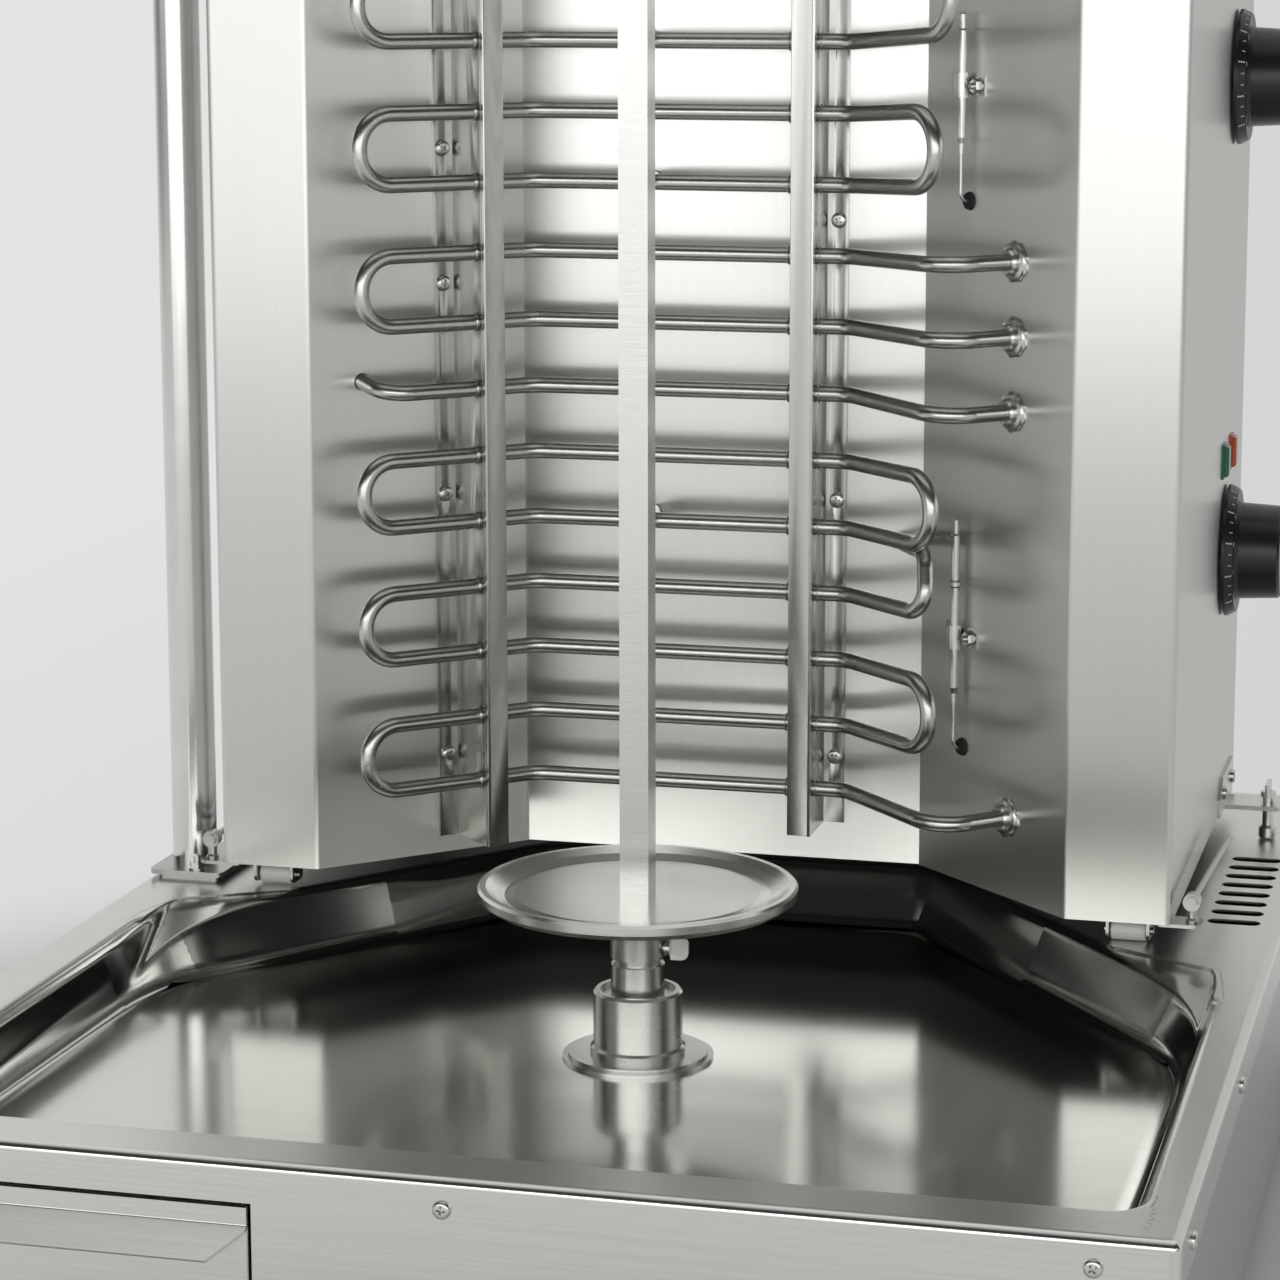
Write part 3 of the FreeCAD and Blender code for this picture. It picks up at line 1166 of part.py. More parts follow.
def probe(spans):
    """Sensing bulb with a stepped tip, its crimp, and the capillary that enters the panel."""
    tip, clip, grommet = [RIM_HEIGHT + height for height in spans]
    axis = panel_point(PROBE_ALONG, PROBE_OUT, 0)
    end = grommet + 24.0
    profile = [(0, end), (1.4, end), (1.4, end + 5), (BULB_RADIUS, end + 8)]
    collar = tip - 36
    if collar > clip + CLIP_HALF_HEIGHT + 2:
        profile += [(BULB_RADIUS, collar), (BULB_RADIUS + 0.9, collar + 1), (BULB_RADIUS + 0.9, collar + 3),
                    (BULB_RADIUS, collar + 4)]
    profile += [(BULB_RADIUS, tip - 9), (1.7, tip - 8), (1.7, tip - 1), (1.0, tip), (0, tip)]
    bulb = turned(profile, axis.x, axis.y)
    stops = [(panel_point(PROBE_ALONG, PROBE_OUT, end), 0), (panel_point(PROBE_ALONG, PROBE_OUT, grommet), 4.5),
             (panel_point(PROBE_ALONG, -8, grommet), 0)]
    return bulb.fuse(bent_rod(stops, CAPILLARY_RADIUS))


def probe_clips():
    """Saddle clip with one screw for each bulb."""
    pieces = []
    for spans in PROBE_SPANS:
        z = RIM_HEIGHT + spans[1]
        foot = box(-14.0, -3.6, -1.2, 0, -CLIP_HALF_HEIGHT, CLIP_HALF_HEIGHT)
        saddle = tube(BULB_RADIUS + 1.3, BULB_RADIUS + 0.05, V(0, -PROBE_OUT, -CLIP_HALF_HEIGHT),
                      V(0, -PROBE_OUT, CLIP_HALF_HEIGHT))
        stem = box(-3.6, -2.4, -PROBE_OUT, 0, -CLIP_HALF_HEIGHT, CLIP_HALF_HEIGHT)
        clip = foot.fuse([saddle, stem]).cut(rod(BULB_RADIUS + 0.05, V(0, -PROBE_OUT, -9), V(0, -PROBE_OUT, 9)))
        clip = clip.fuse(pan_head_screw(V(-9.0, -1.2, 0), V(0, -1, 0), 3.0, 1.8, 1.0)).removeSplitter()
        clip.rotate(V(0, 0, 0), Z_AXIS, -PANEL_ANGLE)
        clip.translate(panel_point(PROBE_ALONG, 0, z))
        pieces.append(clip)
    return compound(pieces)


def probe_grommets():
    """Rubber grommets where the capillaries enter the panel."""
    pieces = []
    for spans in PROBE_SPANS:
        profile = [(CAPILLARY_RADIUS + 0.1, -SHEET - 1.5), (4.8, -SHEET - 1.5), (4.8, -SHEET),
                   (GROMMET_HOLE - 0.05, -SHEET), (GROMMET_HOLE - 0.05, 0), (4.8, 0), (4.2, 1.6),
                   (CAPILLARY_RADIUS + 0.1, 1.6)]
        piece = turned(profile, 0, 0)
        piece.Placement = FreeCAD.Placement(panel_point(PROBE_ALONG, 0, RIM_HEIGHT + spans[2]),
                                            FreeCAD.Rotation(Z_AXIS.cross(PANEL_OUT), Z_AXIS, PANEL_OUT))
        pieces.append(piece)
    return compound(pieces)


# ---------------------------------------------------------------- controls on the right side
KNOB_BACK_X = TOWER_HALF + 2.0
SKIRT_RADIUS = 36.0
SKIRT_THICKNESS = 6.0
GRIP_RADIUS = 26.0
GRIP_LENGTH = 24.0
SHAFT_RADIUS = 3.0
SHAFT_END_X = KNOB_BACK_X + 16.0
ROCKER_TILT = 8.0
ROCKER_PIVOT_X = TOWER_HALF - 4.0
ROCKER_CREST = 8.6                # crest's distance from the pivot


def thermostats():
    """Two thermostat bodies inside the casing, each with its spindle."""
    pieces = []
    inside = TOWER_HALF - SHEET
    for z in KNOB_Z:
        body = rounded_block(-20.0, 20.0, -22.0, 22.0, 0, 30.0, 4.0)
        body.Placement = FreeCAD.Placement(V(inside, KNOB_Y, z), FreeCAD.Rotation(Z_AXIS, Y_AXIS, -X_AXIS))
        spindle = rod(SHAFT_RADIUS, V(inside, KNOB_Y, z), V(SHAFT_END_X, KNOB_Y, z))
        pieces.append(body.fuse(spindle))
    return compound(pieces)


def knob(z):
    """Knob with a dial skirt, a tapered grip and a recessed end face."""
    x0 = KNOB_BACK_X
    x1 = x0 + SKIRT_THICKNESS
    x2 = x1 + GRIP_LENGTH
    bore = SHAFT_RADIUS + RUNNING_GAP
    profile = [(bore, x0), (SKIRT_RADIUS, x0), (SKIRT_RADIUS, x0 + 1.5), (SKIRT_RADIUS - 2.5, x1),
               (GRIP_RADIUS + 1.5, x1), (GRIP_RADIUS + 0.3, x1 + 2), (GRIP_RADIUS - 0.8, x2 - 1.5),
               (GRIP_RADIUS - 2.3, x2), (GRIP_RADIUS - 5.5, x2), (GRIP_RADIUS - 6.5, x2 - 1.2),
               (0, x2 - 1.2), (0, SHAFT_END_X + 0.3), (bore, SHAFT_END_X + 0.3)]
    return turned_about_x(profile, KNOB_Y, z)


def lamps(y):
    """Rectangular pilot lamps at one distance from the front: pillow lens, bezel and body."""
    pieces = []
    for knob_z in KNOB_Z:
        z = knob_z + LAMP_ABOVE_KNOB
        wide, high = LAMP_HALF_WIDTH, LAMP_HALF_HEIGHT
        bezel = box(TOWER_HALF, TOWER_HALF + 1.5, y - wide, y + wide, z - high, z + high)
        lens = box(TOWER_HALF + 1.5, TOWER_HALF + 4, y - wide + 1.2, y + wide - 1.2, z - high + 1.2, z + high - 1.2)
        front = [edge for edge in lens.Edges if edge.CenterOfMass.x > TOWER_HALF + 3.9]
        lens = lens.makeFillet(1.6, front)
        body = box(TOWER_HALF - 14, TOWER_HALF, y - wide + 1.1, y + wide - 1.1, z - high + 1.1, z + high - 1.1)
        pieces.append(bezel.fuse([lens, body]))
    return compound(pieces)


def switch_frame():
    """Bezel and housing of the rocker switch."""
    wide, high = SWITCH_HALF_WIDTH, SWITCH_HALF_HEIGHT
    y, z = KNOB_Y, SWITCH_Z
    bezel = box(TOWER_HALF, TOWER_HALF + 2, y - wide - 2.5, y + wide + 2.5, z - high - 2.5, z + high + 2.5)
    rim = [edge for edge in bezel.Edges if edge.CenterOfMass.x > TOWER_HALF + 1.9]
    bezel = bezel.makeFillet(1.2, rim)
    housing = box(TOWER_HALF - 22, TOWER_HALF, y - wide + 0.2, y + wide - 0.2, z - high + 0.2, z + high - 0.2)
    frame = bezel.fuse(housing)
    frame = frame.cut(box(TOWER_HALF - 12, TOWER_HALF + 3, y - wide + 2.5, y + wide - 2.5, z - high + 2, z + high - 2))
    return frame.cut(rocker_pins(1.5 + RUNNING_GAP, 0.3))


def rocker_pins(radius, extra):
    """Pivot pins of the rocker, or their holes."""
    reach = SWITCH_HALF_WIDTH - 1.3 + extra
    return rod(radius, V(ROCKER_PIVOT_X, KNOB_Y - reach, SWITCH_Z), V(ROCKER_PIVOT_X, KNOB_Y + reach, SWITCH_Z))


def rocker():
    """Rocker with two faces that meet over the pivot; its lower face is pressed in."""
    pivot = V(ROCKER_PIVOT_X, KNOB_Y, SWITCH_Z)
    wide = SWITCH_HALF_WIDTH - 3.0
    radius = SWITCH_HALF_HEIGHT - 2.4
    drum = rod(radius, pivot - Y_AXIS * wide, pivot + Y_AXIS * wide)
    drum = drum.common(box(pivot.x - 2, pivot.x + radius, pivot.y - wide, pivot.y + wide,
                           pivot.z - radius, pivot.z + radius))
    for side in (-1, 1):
        cutter = box(ROCKER_CREST, ROCKER_CREST + 20, -wide - 1, wide + 1, -30, 30)
        cutter.rotate(V(ROCKER_CREST, 0, 0), Y_AXIS, -side * ROCKER_TILT)
        cutter.translate(pivot)
        drum = drum.cut(cutter)
    drum = drum.fuse(rocker_pins(1.5, 0))
    drum.rotate(pivot, Y_AXIS, ROCKER_TILT)
    return drum


# ---------------------------------------------------------------- side rods and clamp of the tower
ROD_ARM_TOP_Z = TOWER_BOTTOM_Z
ROD_ARM_THICKNESS = 1.8
PIN_X, PIN_Y = 259.5, 31.0        # upright pin in front of each side rod
PIN_SIZE = 2.3
SIDE_ROD_Z = RIM_HEIGHT + 25.5
SIDE_ROD_RADIUS = 1.6
SIDE_ROD_END = V(265.0, 168.0, SIDE_ROD_Z)
PLATE_X = TOWER_HALF + 2.0
CLAMP_X, CLAMP_Y = 276.0, 271.0
CLAMP_RADIUS = 3.0
ARM_TOP_Z = RIM_HEIGHT + 21.0


def side_rod():
    """Slim rod beside the right foot of the tower, held by the eye of an upright pin on a flat arm."""
    low = ROD_ARM_TOP_Z - ROD_ARM_THICKNESS
    arm = rounded_block(TOWER_HALF - 9, PIN_X + 5, PIN_Y - 7, PIN_Y + 9, low, ROD_ARM_TOP_Z, 4.0)
    profile = [(0, ROD_ARM_TOP_Z), (PIN_SIZE + 0.9, ROD_ARM_TOP_Z), (PIN_SIZE + 0.9, ROD_ARM_TOP_Z + 1.2),
               (PIN_SIZE, ROD_ARM_TOP_Z + 2.2), (PIN_SIZE, SIDE_ROD_Z + 1), (0, SIDE_ROD_Z + 1)]
    pin = turned(profile, PIN_X, PIN_Y)
    centre = V(PIN_X, PIN_Y, SIDE_ROD_Z)
    along = V(SIDE_ROD_END - centre).normalize()
    eye = rod(4.4, centre - along * 3.2, centre + along * 3.2)
    head = rod(3.0, centre - along * 5.6, centre - along * 3.2)
    bar = rod(SIDE_ROD_RADIUS, centre, SIDE_ROD_END)
    bar = bar.makeFillet(1.0, [edge for edge in bar.Edges if edge.CenterOfMass.distanceToPoint(SIDE_ROD_END) < 0.1])
    return arm.fuse([pin, eye, head, bar]).removeSplitter()


def clamp_bracket():
    """Plate on the right casing with an arm that holds the clamp screw over the rim."""
    low, high = RIM_HEIGHT + 16.0, RIM_HEIGHT + 36.0
    front, back = 245.0, 315.0
    outline = [V(TOWER_HALF, front, low), V(TOWER_HALF, back, low), V(TOWER_HALF, back, high),
               V(TOWER_HALF, front + 14, high), V(TOWER_HALF, front, high - 10)]
    plate = Part.Face(Part.makePolygon(outline + outline[:1])).extrude(V(PLATE_X - TOWER_HALF, 0, 0))
    for y in (front + 16, back - 12):
        plate = plate.fuse(pan_head_screw(V(PLATE_X, y, high - 9), X_AXIS, shank=2.0))
    arm = rounded_block(PLATE_X - 1.5, CLAMP_X + 8, CLAMP_Y - 13, CLAMP_Y + 13, ARM_TOP_Z - 2.5, ARM_TOP_Z, 1.2)
    bore = CLAMP_RADIUS + RUNNING_GAP
    hole = rod(bore, V(CLAMP_X, CLAMP_Y, ARM_TOP_Z - 5), V(CLAMP_X, CLAMP_Y, ARM_TOP_Z + 1))
    return plate.fuse(arm).cut(hole).removeSplitter()


def clamp_screw():
    """Upright screw with a wide wing head; its foot presses on the rim."""
    foot_z = RIM_HEIGHT + 0.4
    profile = [(0, foot_z), (4.2, foot_z), (4.8, foot_z + 1), (4.8, foot_z + 6), (CLAMP_RADIUS, foot_z + 7.5),
               (CLAMP_RADIUS, ARM_TOP_Z + 3), (4.2, ARM_TOP_Z + 3), (4.2, ARM_TOP_Z + 6), (0, ARM_TOP_Z + 6)]
    screw = turned(profile, CLAMP_X, CLAMP_Y)
    wing = rounded_block(CLAMP_X - 1.3, CLAMP_X + 1.3, CLAMP_Y - 9, CLAMP_Y + 9, ARM_TOP_Z + 5, ARM_TOP_Z + 11, 1.2)
    return screw.fuse(wing).removeSplitter()


# ---------------------------------------------------------------- build and write every sub-part
def build():
    """Write one file for each named sub-part."""
    os.makedirs("parts", exist_ok=True)
    save("top_pan", top_pan())
    save("cabinet", cabinet())
    save("floor_plate", floor_plate())
    save("feet", feet())
    save("base_screws", compound(base_screws() + foot_bolts()))
    save("cable_gland", cable_gland())
    save("drawer_rails", drawer_rails())
    save("drawer_front", drawer_front().fuse(drawer_lip()))
    save("drawer_tub", drawer_tub())
    save("bearing_collar", bearing_collar())
    save("motor_mount", motor_mount())
    save("gear_motor", gear_motor())
    save("spit_shaft", spit_shaft())
    save("plate_boss", plate_boss())
    save("meat_plate", meat_plate())
    save("skewer", skewer())
    save("thumb_screw", thumb_screw())
    save("pole", pole())
    save("pole_foot", pole_foot())
    save("pole_bolts", compound(pole_bolts() + [arm_screw()]))
    save("top_arm", top_arm())
    save("top_pin", top_pin().fuse(top_pin_knob()))
    save("casing_left", casing_left())
    save("casing_right", casing_right())
    save("back_reflector", back_reflector())
    save("tower_floor", tower_floor())
    save("tower_top", tower_top())
    save("rear_cover", rear_cover())
    save("roller_forks", roller_forks())
    for place, (x, y) in roller_places().items():
        save("roller_" + place, roller(x, y))
    save("rear_bracket_left", on_left(support(LEFT_SUPPORT_LOW_Z, LEFT_SCREW_Z)))
    save("rear_bracket_right", on_right(support(RIGHT_SUPPORT_LOW_Z, RIGHT_SCREW_Z)))
    save("front_bar_left", on_left(support_front(LEFT_SUPPORT_LOW_Z)))
    save("front_bar_right", on_right(support_front(RIGHT_SUPPORT_LOW_Z)))
    save("bar_screws", compound([on_left(support_screws(LEFT_SCREW_Z)), on_right(support_screws(RIGHT_SCREW_Z))]))
    for number, path in enumerate(element_paths(), 1):
        save("element_" + str(number), bent_rod(path, ROD_RADIUS))
    save("element_glands", element_glands())
    for name, spans in zip(("lower", "upper"), PROBE_SPANS):
        save("probe_" + name, probe(spans))
    save("probe_clips", probe_clips())
    save("probe_grommets", probe_grommets())
    save("thermostats", thermostats())
    for name, z in zip(("lower", "upper"), KNOB_Z):
        save("knob_" + name, knob(z))
    for name, y in zip(("green", "orange"), LAMP_Y):
        save("lamps_" + name, lamps(y))
    save("switch_frame", switch_frame())
    save("rocker", rocker())
    save("side_rods", compound([side_rod(), mirrored(side_rod())]))
    save("clamp_bracket", clamp_bracket())
    save("clamp_screw", clamp_screw())


build()
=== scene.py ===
"""Looks of the electric skewer grill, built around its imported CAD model.

Blender works in metres.  Lengths of the modelled pieces are written in millimetres and scaled by MM.
"""
import math
import bmesh
import bpy
from mathutils import Matrix, Vector


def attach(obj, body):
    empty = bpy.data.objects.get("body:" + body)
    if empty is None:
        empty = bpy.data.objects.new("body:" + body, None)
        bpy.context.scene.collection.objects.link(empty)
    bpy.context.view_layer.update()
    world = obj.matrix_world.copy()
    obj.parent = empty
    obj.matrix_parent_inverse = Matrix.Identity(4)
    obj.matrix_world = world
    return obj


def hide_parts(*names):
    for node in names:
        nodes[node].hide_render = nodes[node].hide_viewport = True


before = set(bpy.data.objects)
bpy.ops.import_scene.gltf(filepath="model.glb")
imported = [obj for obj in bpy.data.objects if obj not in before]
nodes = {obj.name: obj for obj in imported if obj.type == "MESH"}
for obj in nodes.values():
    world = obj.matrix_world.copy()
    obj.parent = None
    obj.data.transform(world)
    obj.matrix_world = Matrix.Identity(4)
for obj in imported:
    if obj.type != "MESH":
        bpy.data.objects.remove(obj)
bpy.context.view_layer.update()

MM = 0.001


def add_object(name, data):
    """New object that holds data, linked to the scene."""
    thing = bpy.data.objects.new(name, data)
    bpy.context.scene.collection.objects.link(thing)
    return thing


# ---------------------------------------------------------------- camera
IMAGE = 1280.0                        # side of the square photograph in pixels
FOCAL_PX = 3608.0                     # focal length in pixels of the photograph
CENTRE_PX = (670.0, 560.0)            # where the camera's axis meets the photograph
SENSOR = 36.0
CLIP = (0.05, 50.0)
EYE = Vector((0.4353, -1.7174, 0.6485))
YAW = math.radians(14.24)
PITCH = math.radians(9.82)


def make_camera():
    """Camera at the photograph's viewpoint, with a small shift for its cropped frame."""
    data = bpy.data.cameras.new("photo_camera")
    camera = add_object("photo_camera", data)
    data.sensor_width = SENSOR
    data.lens = SENSOR * FOCAL_PX / IMAGE
    data.shift_x = (IMAGE / 2 - CENTRE_PX[0]) / IMAGE
    data.shift_y = (CENTRE_PX[1] - IMAGE / 2) / IMAGE
    data.clip_start, data.clip_end = CLIP
    forward = Vector((-math.sin(YAW) * math.cos(PITCH), math.cos(YAW) * math.cos(PITCH), -math.sin(PITCH)))
    right = Vector((math.cos(YAW), math.sin(YAW), 0.0))
    up = right.cross(forward)
    turn = Matrix((right, up, -forward)).transposed().to_4x4()
    camera.matrix_world = Matrix.Translation(EYE) @ turn
    bpy.context.scene.camera = camera


make_camera()

# ---------------------------------------------------------------- shader nodes
MIX_A, MIX_B, MIX_RESULT = 6, 7, 2    # colour sockets of a Mix node


def feed(tree, socket, value):
    """Set a socket to a constant, or link it to the socket that feeds it."""
    if isinstance(value, bpy.types.NodeSocket):
        tree.links.new(value, socket)
    else:
        socket.default_value = value


def add_node(tree, kind, inputs, **settings):
    """New shader node with its settings, and with its inputs fed by name or number."""
    node = tree.nodes.new("ShaderNode" + kind)
    for setting, value in settings.items():
        setattr(node, setting, value)
    for key, value in inputs.items():
        feed(tree, node.inputs[key], value)
    return node


def math_node(tree, operation, *values):
    """Output of a Math node on sockets or numbers."""
    return add_node(tree, "Math", dict(enumerate(values)), operation=operation).outputs[0]


def map_range(tree, value, source=(0.0, 1.0), target=(0.0, 1.0), interpolation="LINEAR"):
    """Output of a Map Range node from one pair of limits to another."""
    limits = {"Value": value, "From Min": source[0], "From Max": source[1],
              "To Min": target[0], "To Max": target[1]}
    return add_node(tree, "MapRange", limits, interpolation_type=interpolation).outputs[0]


def noise(tree, place, scale, detail):
    """Noise value at a place."""
    return add_node(tree, "TexNoise", {"Vector": place, "Scale": scale, "Detail": detail}).outputs["Fac"]


def split_xyz(tree, vector):
    """Outputs X, Y and Z of a vector."""
    return add_node(tree, "SeparateXYZ", {0: vector}).outputs


def grey(value):
    """Opaque grey of a brightness."""
    return (value, value, value, 1.0)


def ramp(tree, source, stops):
    """Colour output of a ramp through (position, colour) stops."""
    node = add_node(tree, "ValToRGB", {0: source})
    elements = node.color_ramp.elements
    while len(elements) < len(stops):
        elements.new(0.5)
    for element, (position, colour) in zip(elements, stops):
        element.position = position
        element.color = colour
    return node.outputs[0]


def new_material(name):
    """New material; returns it, its node tree and its shader."""
    material = bpy.data.materials.new(name)
    material.use_nodes = True
    tree = material.node_tree
    return material, tree, tree.nodes["Principled BSDF"]


# ---------------------------------------------------------------- studio
PAPER = 0.86                          # reflectance of floor and backdrop
PAPER_ROUGHNESS = 0.9
PAPER_GLOW = (0.77, 0.62)             # how bright the far paper looks, on the left and on the right
GLOW_X = (-1.2, 0.6)                  # where along x that brightness changes
GLOW_START = (0.42, 0.80)             # distances from the object over which it takes over from the shaded paper
FLOOR_HALF, FLOOR_FRONT = 6.0, -5.0
SWEEP_START, SWEEP_RADIUS, SWEEP_STEPS, BACKDROP_TOP = 2.6, 1.2, 12, 4.0

# The room that metal reflects: grey by height (0 straight down, 0.5 the horizon, 1 straight up) in front of the
# object and behind it, and the mix of the two from front to back.
FRONT_STOPS = [(0.50, 0.30), (0.53, 0.03), (0.90, 0.03), (0.97, 0.35)]
REAR_STOPS = [(0.45, 0.6), (0.55, 0.8)]
SIDE_STOPS = [(0.50, 0.0), (0.75, 1.0)]

# place, point faced, width and height, and power in watts
LAMPS = {
    "strip": ((1.25, -3.4, 0.46), (1.25, 0.0, 0.46), (4.1, 0.76), 16.4),
    "strip_left": ((-1.75, -3.4, 0.46), (-1.75, 0.0, 0.46), (1.8, 0.76), 5.6),
    "strip_high": ((0.3, -3.4, 1.17), (0.3, 0.0, 1.17), (5.9, 0.62), 32),
    "side_right": ((2.98, -2.01, 0.84), (0.0, 0.0, 0.84), (1.9, 0.50), 5.2),
    "side_left": ((-2.98, -2.01, 0.84), (0.0, 0.0, 0.84), (1.9, 0.50), 2.2),
    "top": ((0.0, 0.05, 2.8), (0.0, 0.05, 0.3), (3.6, 2.3), 9),
}


def area_light(name, place, target, size, power):
    """Soft rectangular lamp that faces a point."""
    data = bpy.data.lights.new(name, "AREA")
    data.shape = "RECTANGLE"
    data.size, data.size_y = size
    data.energy = power
    lamp = add_object(name, data)
    lamp.location = place
    lamp.rotation_mode = "QUATERNION"
    lamp.rotation_quaternion = (Vector(target) - Vector(place)).to_track_quat("-Z", "Y")
    lamp.visible_camera = False


def grey_ramp(tree, source, stops):
    """Ramp through (position, brightness) stops."""
    return ramp(tree, source, [(position, grey(value)) for position, value in stops])


def make_world():
    """Studio room for reflections: dark in front above the horizon, pale behind.  The camera sees plain paper."""
    world = bpy.data.worlds.new("studio")
    bpy.context.scene.world = world
    world.use_nodes = True
    tree = world.node_tree
    tree.nodes.clear()
    direction = split_xyz(tree, add_node(tree, "TexCoord", {}).outputs["Generated"])
    height = math_node(tree, "MULTIPLY_ADD", direction["Z"], 0.5, 0.5)
    backward = math_node(tree, "MULTIPLY_ADD", direction["Y"], 0.5, 0.5)
    room = add_node(tree, "Mix", {0: grey_ramp(tree, backward, SIDE_STOPS),
                                  MIX_A: grey_ramp(tree, height, FRONT_STOPS),
                                  MIX_B: grey_ramp(tree, height, REAR_STOPS)}, data_type="RGBA")
    reflected = add_node(tree, "Background", {"Color": room.outputs[MIX_RESULT]})
    seen = add_node(tree, "Background", {"Color": grey(PAPER_GLOW[0])})
    path = add_node(tree, "LightPath", {})
    mix = add_node(tree, "MixShader", {0: path.outputs["Is Camera Ray"], 1: reflected.outputs[0],
                                       2: seen.outputs[0]})
    add_node(tree, "OutputWorld", {"Surface": mix.outputs[0]})


def paper_material():
    """Pale paper that takes the object's shadow nearby and looks evenly lit farther off."""
    material, tree, shader = new_material("floor_paper")
    shader.inputs["Base Color"].default_value = grey(PAPER)
    shader.inputs["Roughness"].default_value = PAPER_ROUGHNESS
    place = add_node(tree, "TexCoord", {}).outputs["Object"]
    across = map_range(tree, split_xyz(tree, place)["X"], GLOW_X, PAPER_GLOW)
    glow = add_node(tree, "Emission", {"Strength": across})
    distance = add_node(tree, "VectorMath", {0: place}, operation="LENGTH").outputs["Value"]
    far = map_range(tree, distance, GLOW_START, interpolation="SMOOTHSTEP")
    path = add_node(tree, "LightPath", {})
    seen = math_node(tree, "MAXIMUM", path.outputs["Is Camera Ray"], path.outputs["Is Glossy Ray"])
    mix = add_node(tree, "MixShader", {0: math_node(tree, "MULTIPLY", seen, far), 1: shader.outputs[0],
                                       2: glow.outputs[0]})
    feed(tree, tree.nodes["Material Output"].inputs["Surface"], mix.outputs[0])
    return material


def make_floor():
    """Pale floor that curves up into a backdrop."""
    profile = [(FLOOR_FRONT, 0.0), (SWEEP_START, 0.0)]
    for step in range(1, SWEEP_STEPS + 1):
        angle = math.radians(90 * step / SWEEP_STEPS)
        profile.append((SWEEP_START + SWEEP_RADIUS * math.sin(angle), SWEEP_RADIUS * (1 - math.cos(angle))))
    profile.append((SWEEP_START + SWEEP_RADIUS, BACKDROP_TOP))
    verts = [(x, y, z) for y, z in profile for x in (-FLOOR_HALF, FLOOR_HALF)]
    faces = [(2 * i, 2 * i + 1, 2 * i + 3, 2 * i + 2) for i in range(len(profile) - 1)]
    mesh = bpy.data.meshes.new("floor")
    mesh.from_pydata(verts, [], faces)
    for face in mesh.polygons:
        face.use_smooth = True
    floor = add_object("floor", mesh)
    mesh.materials.append(paper_material())


bpy.context.scene.view_settings.view_transform = "Standard"
make_world()
make_floor()
for lamp_name, (lamp_place, lamp_target, lamp_size, lamp_power) in LAMPS.items():
    area_light(lamp_name, lamp_place, lamp_target, lamp_size, lamp_power)

# ---------------------------------------------------------------- materials
BUMP_DEPTH = 0.0002
METAL_DETAIL, BLOTCH_SCALE, BLOTCH_DETAIL = 3.0, 9.0, 4.0
METAL_TINT = (0.3, 0.7)               # noise values between which a metal's colour changes
PLASTIC_DETAIL, PLASTIC_TINT, PLASTIC_SPREAD, PLASTIC_PATCH = 2.0, (0.0, 1.0), 0.15, 0.05


def about_centre(tree, place, centre):
    """Distance from an upright axis as X, and height as Z, so that grain runs in circles."""
    split = split_xyz(tree, place)
    off_x = math_node(tree, "SUBTRACT", split["X"], centre[0])
    off_y = math_node(tree, "SUBTRACT", split["Y"], centre[1])
    square = math_node(tree, "MULTIPLY_ADD", off_x, off_x, math_node(tree, "MULTIPLY", off_y, off_y))
    join = add_node(tree, "CombineXYZ", {"X": math_node(tree, "SQRT", square), "Z": split["Z"]})
    return join.outputs[0]


def dress(tree, shader, grain, colour, spread, tint, roughness, bump):
    """Feed a shader its colour and bump from the grain, and its roughness from a socket."""
    dark = tuple(c * (1.0 - spread) for c in colour) + (1.0,)
    light = tuple(min(1.0, c * (1.0 + spread)) for c in colour) + (1.0,)
    feed(tree, shader.inputs["Base Color"], ramp(tree, grain, [(tint[0], dark), (tint[1], light)]))
    feed(tree, shader.inputs["Roughness"], roughness)
    relief = add_node(tree, "Bump", {"Strength": bump, "Distance": BUMP_DEPTH, "Height": grain})
    feed(tree, shader.inputs["Normal"], relief.outputs[0])


def metal(name, colour, roughness, grain, bump, patch=0.06, anisotropic=0.0, spread=0.04, centre=None,
          satin_above=None):
    """Procedural metal: grain stretched along an axis, blotches in roughness, faint smudges in colour.

    grain is the noise's scale along x, y and z.  centre makes the grain run in circles about an upright axis.
    satin_above is (height, height, added roughness): the metal turns rougher between the two heights.
    """
    material, tree, shader = new_material(name)
    shader.inputs["Metallic"].default_value = 1.0
    shader.inputs["Anisotropic"].default_value = anisotropic
    place = add_node(tree, "TexCoord", {}).outputs["Object"]
    around = about_centre(tree, place, centre) if centre else place
    stretch = add_node(tree, "Mapping", {"Vector": around, "Scale": grain})
    lines = noise(tree, stretch.outputs[0], 1.0, METAL_DETAIL)
    blotch = noise(tree, place, BLOTCH_SCALE, BLOTCH_DETAIL)
    rough = map_range(tree, blotch, target=(roughness - patch, roughness + patch))
    if satin_above:
        low, high, extra = satin_above
        satin = map_range(tree, split_xyz(tree, place)["Z"], (low, high), (0.0, extra))
        rough = math_node(tree, "ADD", rough, satin)
    dress(tree, shader, lines, colour, spread, METAL_TINT, rough, bump)
    return material


def plastic(name, colour, roughness, grain=900.0, bump=0.05):
    """Moulded plastic or rubber with a fine grain."""
    material, tree, shader = new_material(name)
    place = add_node(tree, "TexCoord", {}).outputs["Object"]
    speckle = noise(tree, place, grain, PLASTIC_DETAIL)
    rough = map_range(tree, speckle, target=(roughness - PLASTIC_PATCH, roughness + PLASTIC_PATCH))
    dress(tree, shader, speckle, colour, PLASTIC_SPREAD, PLASTIC_TINT, rough, bump)
    return material


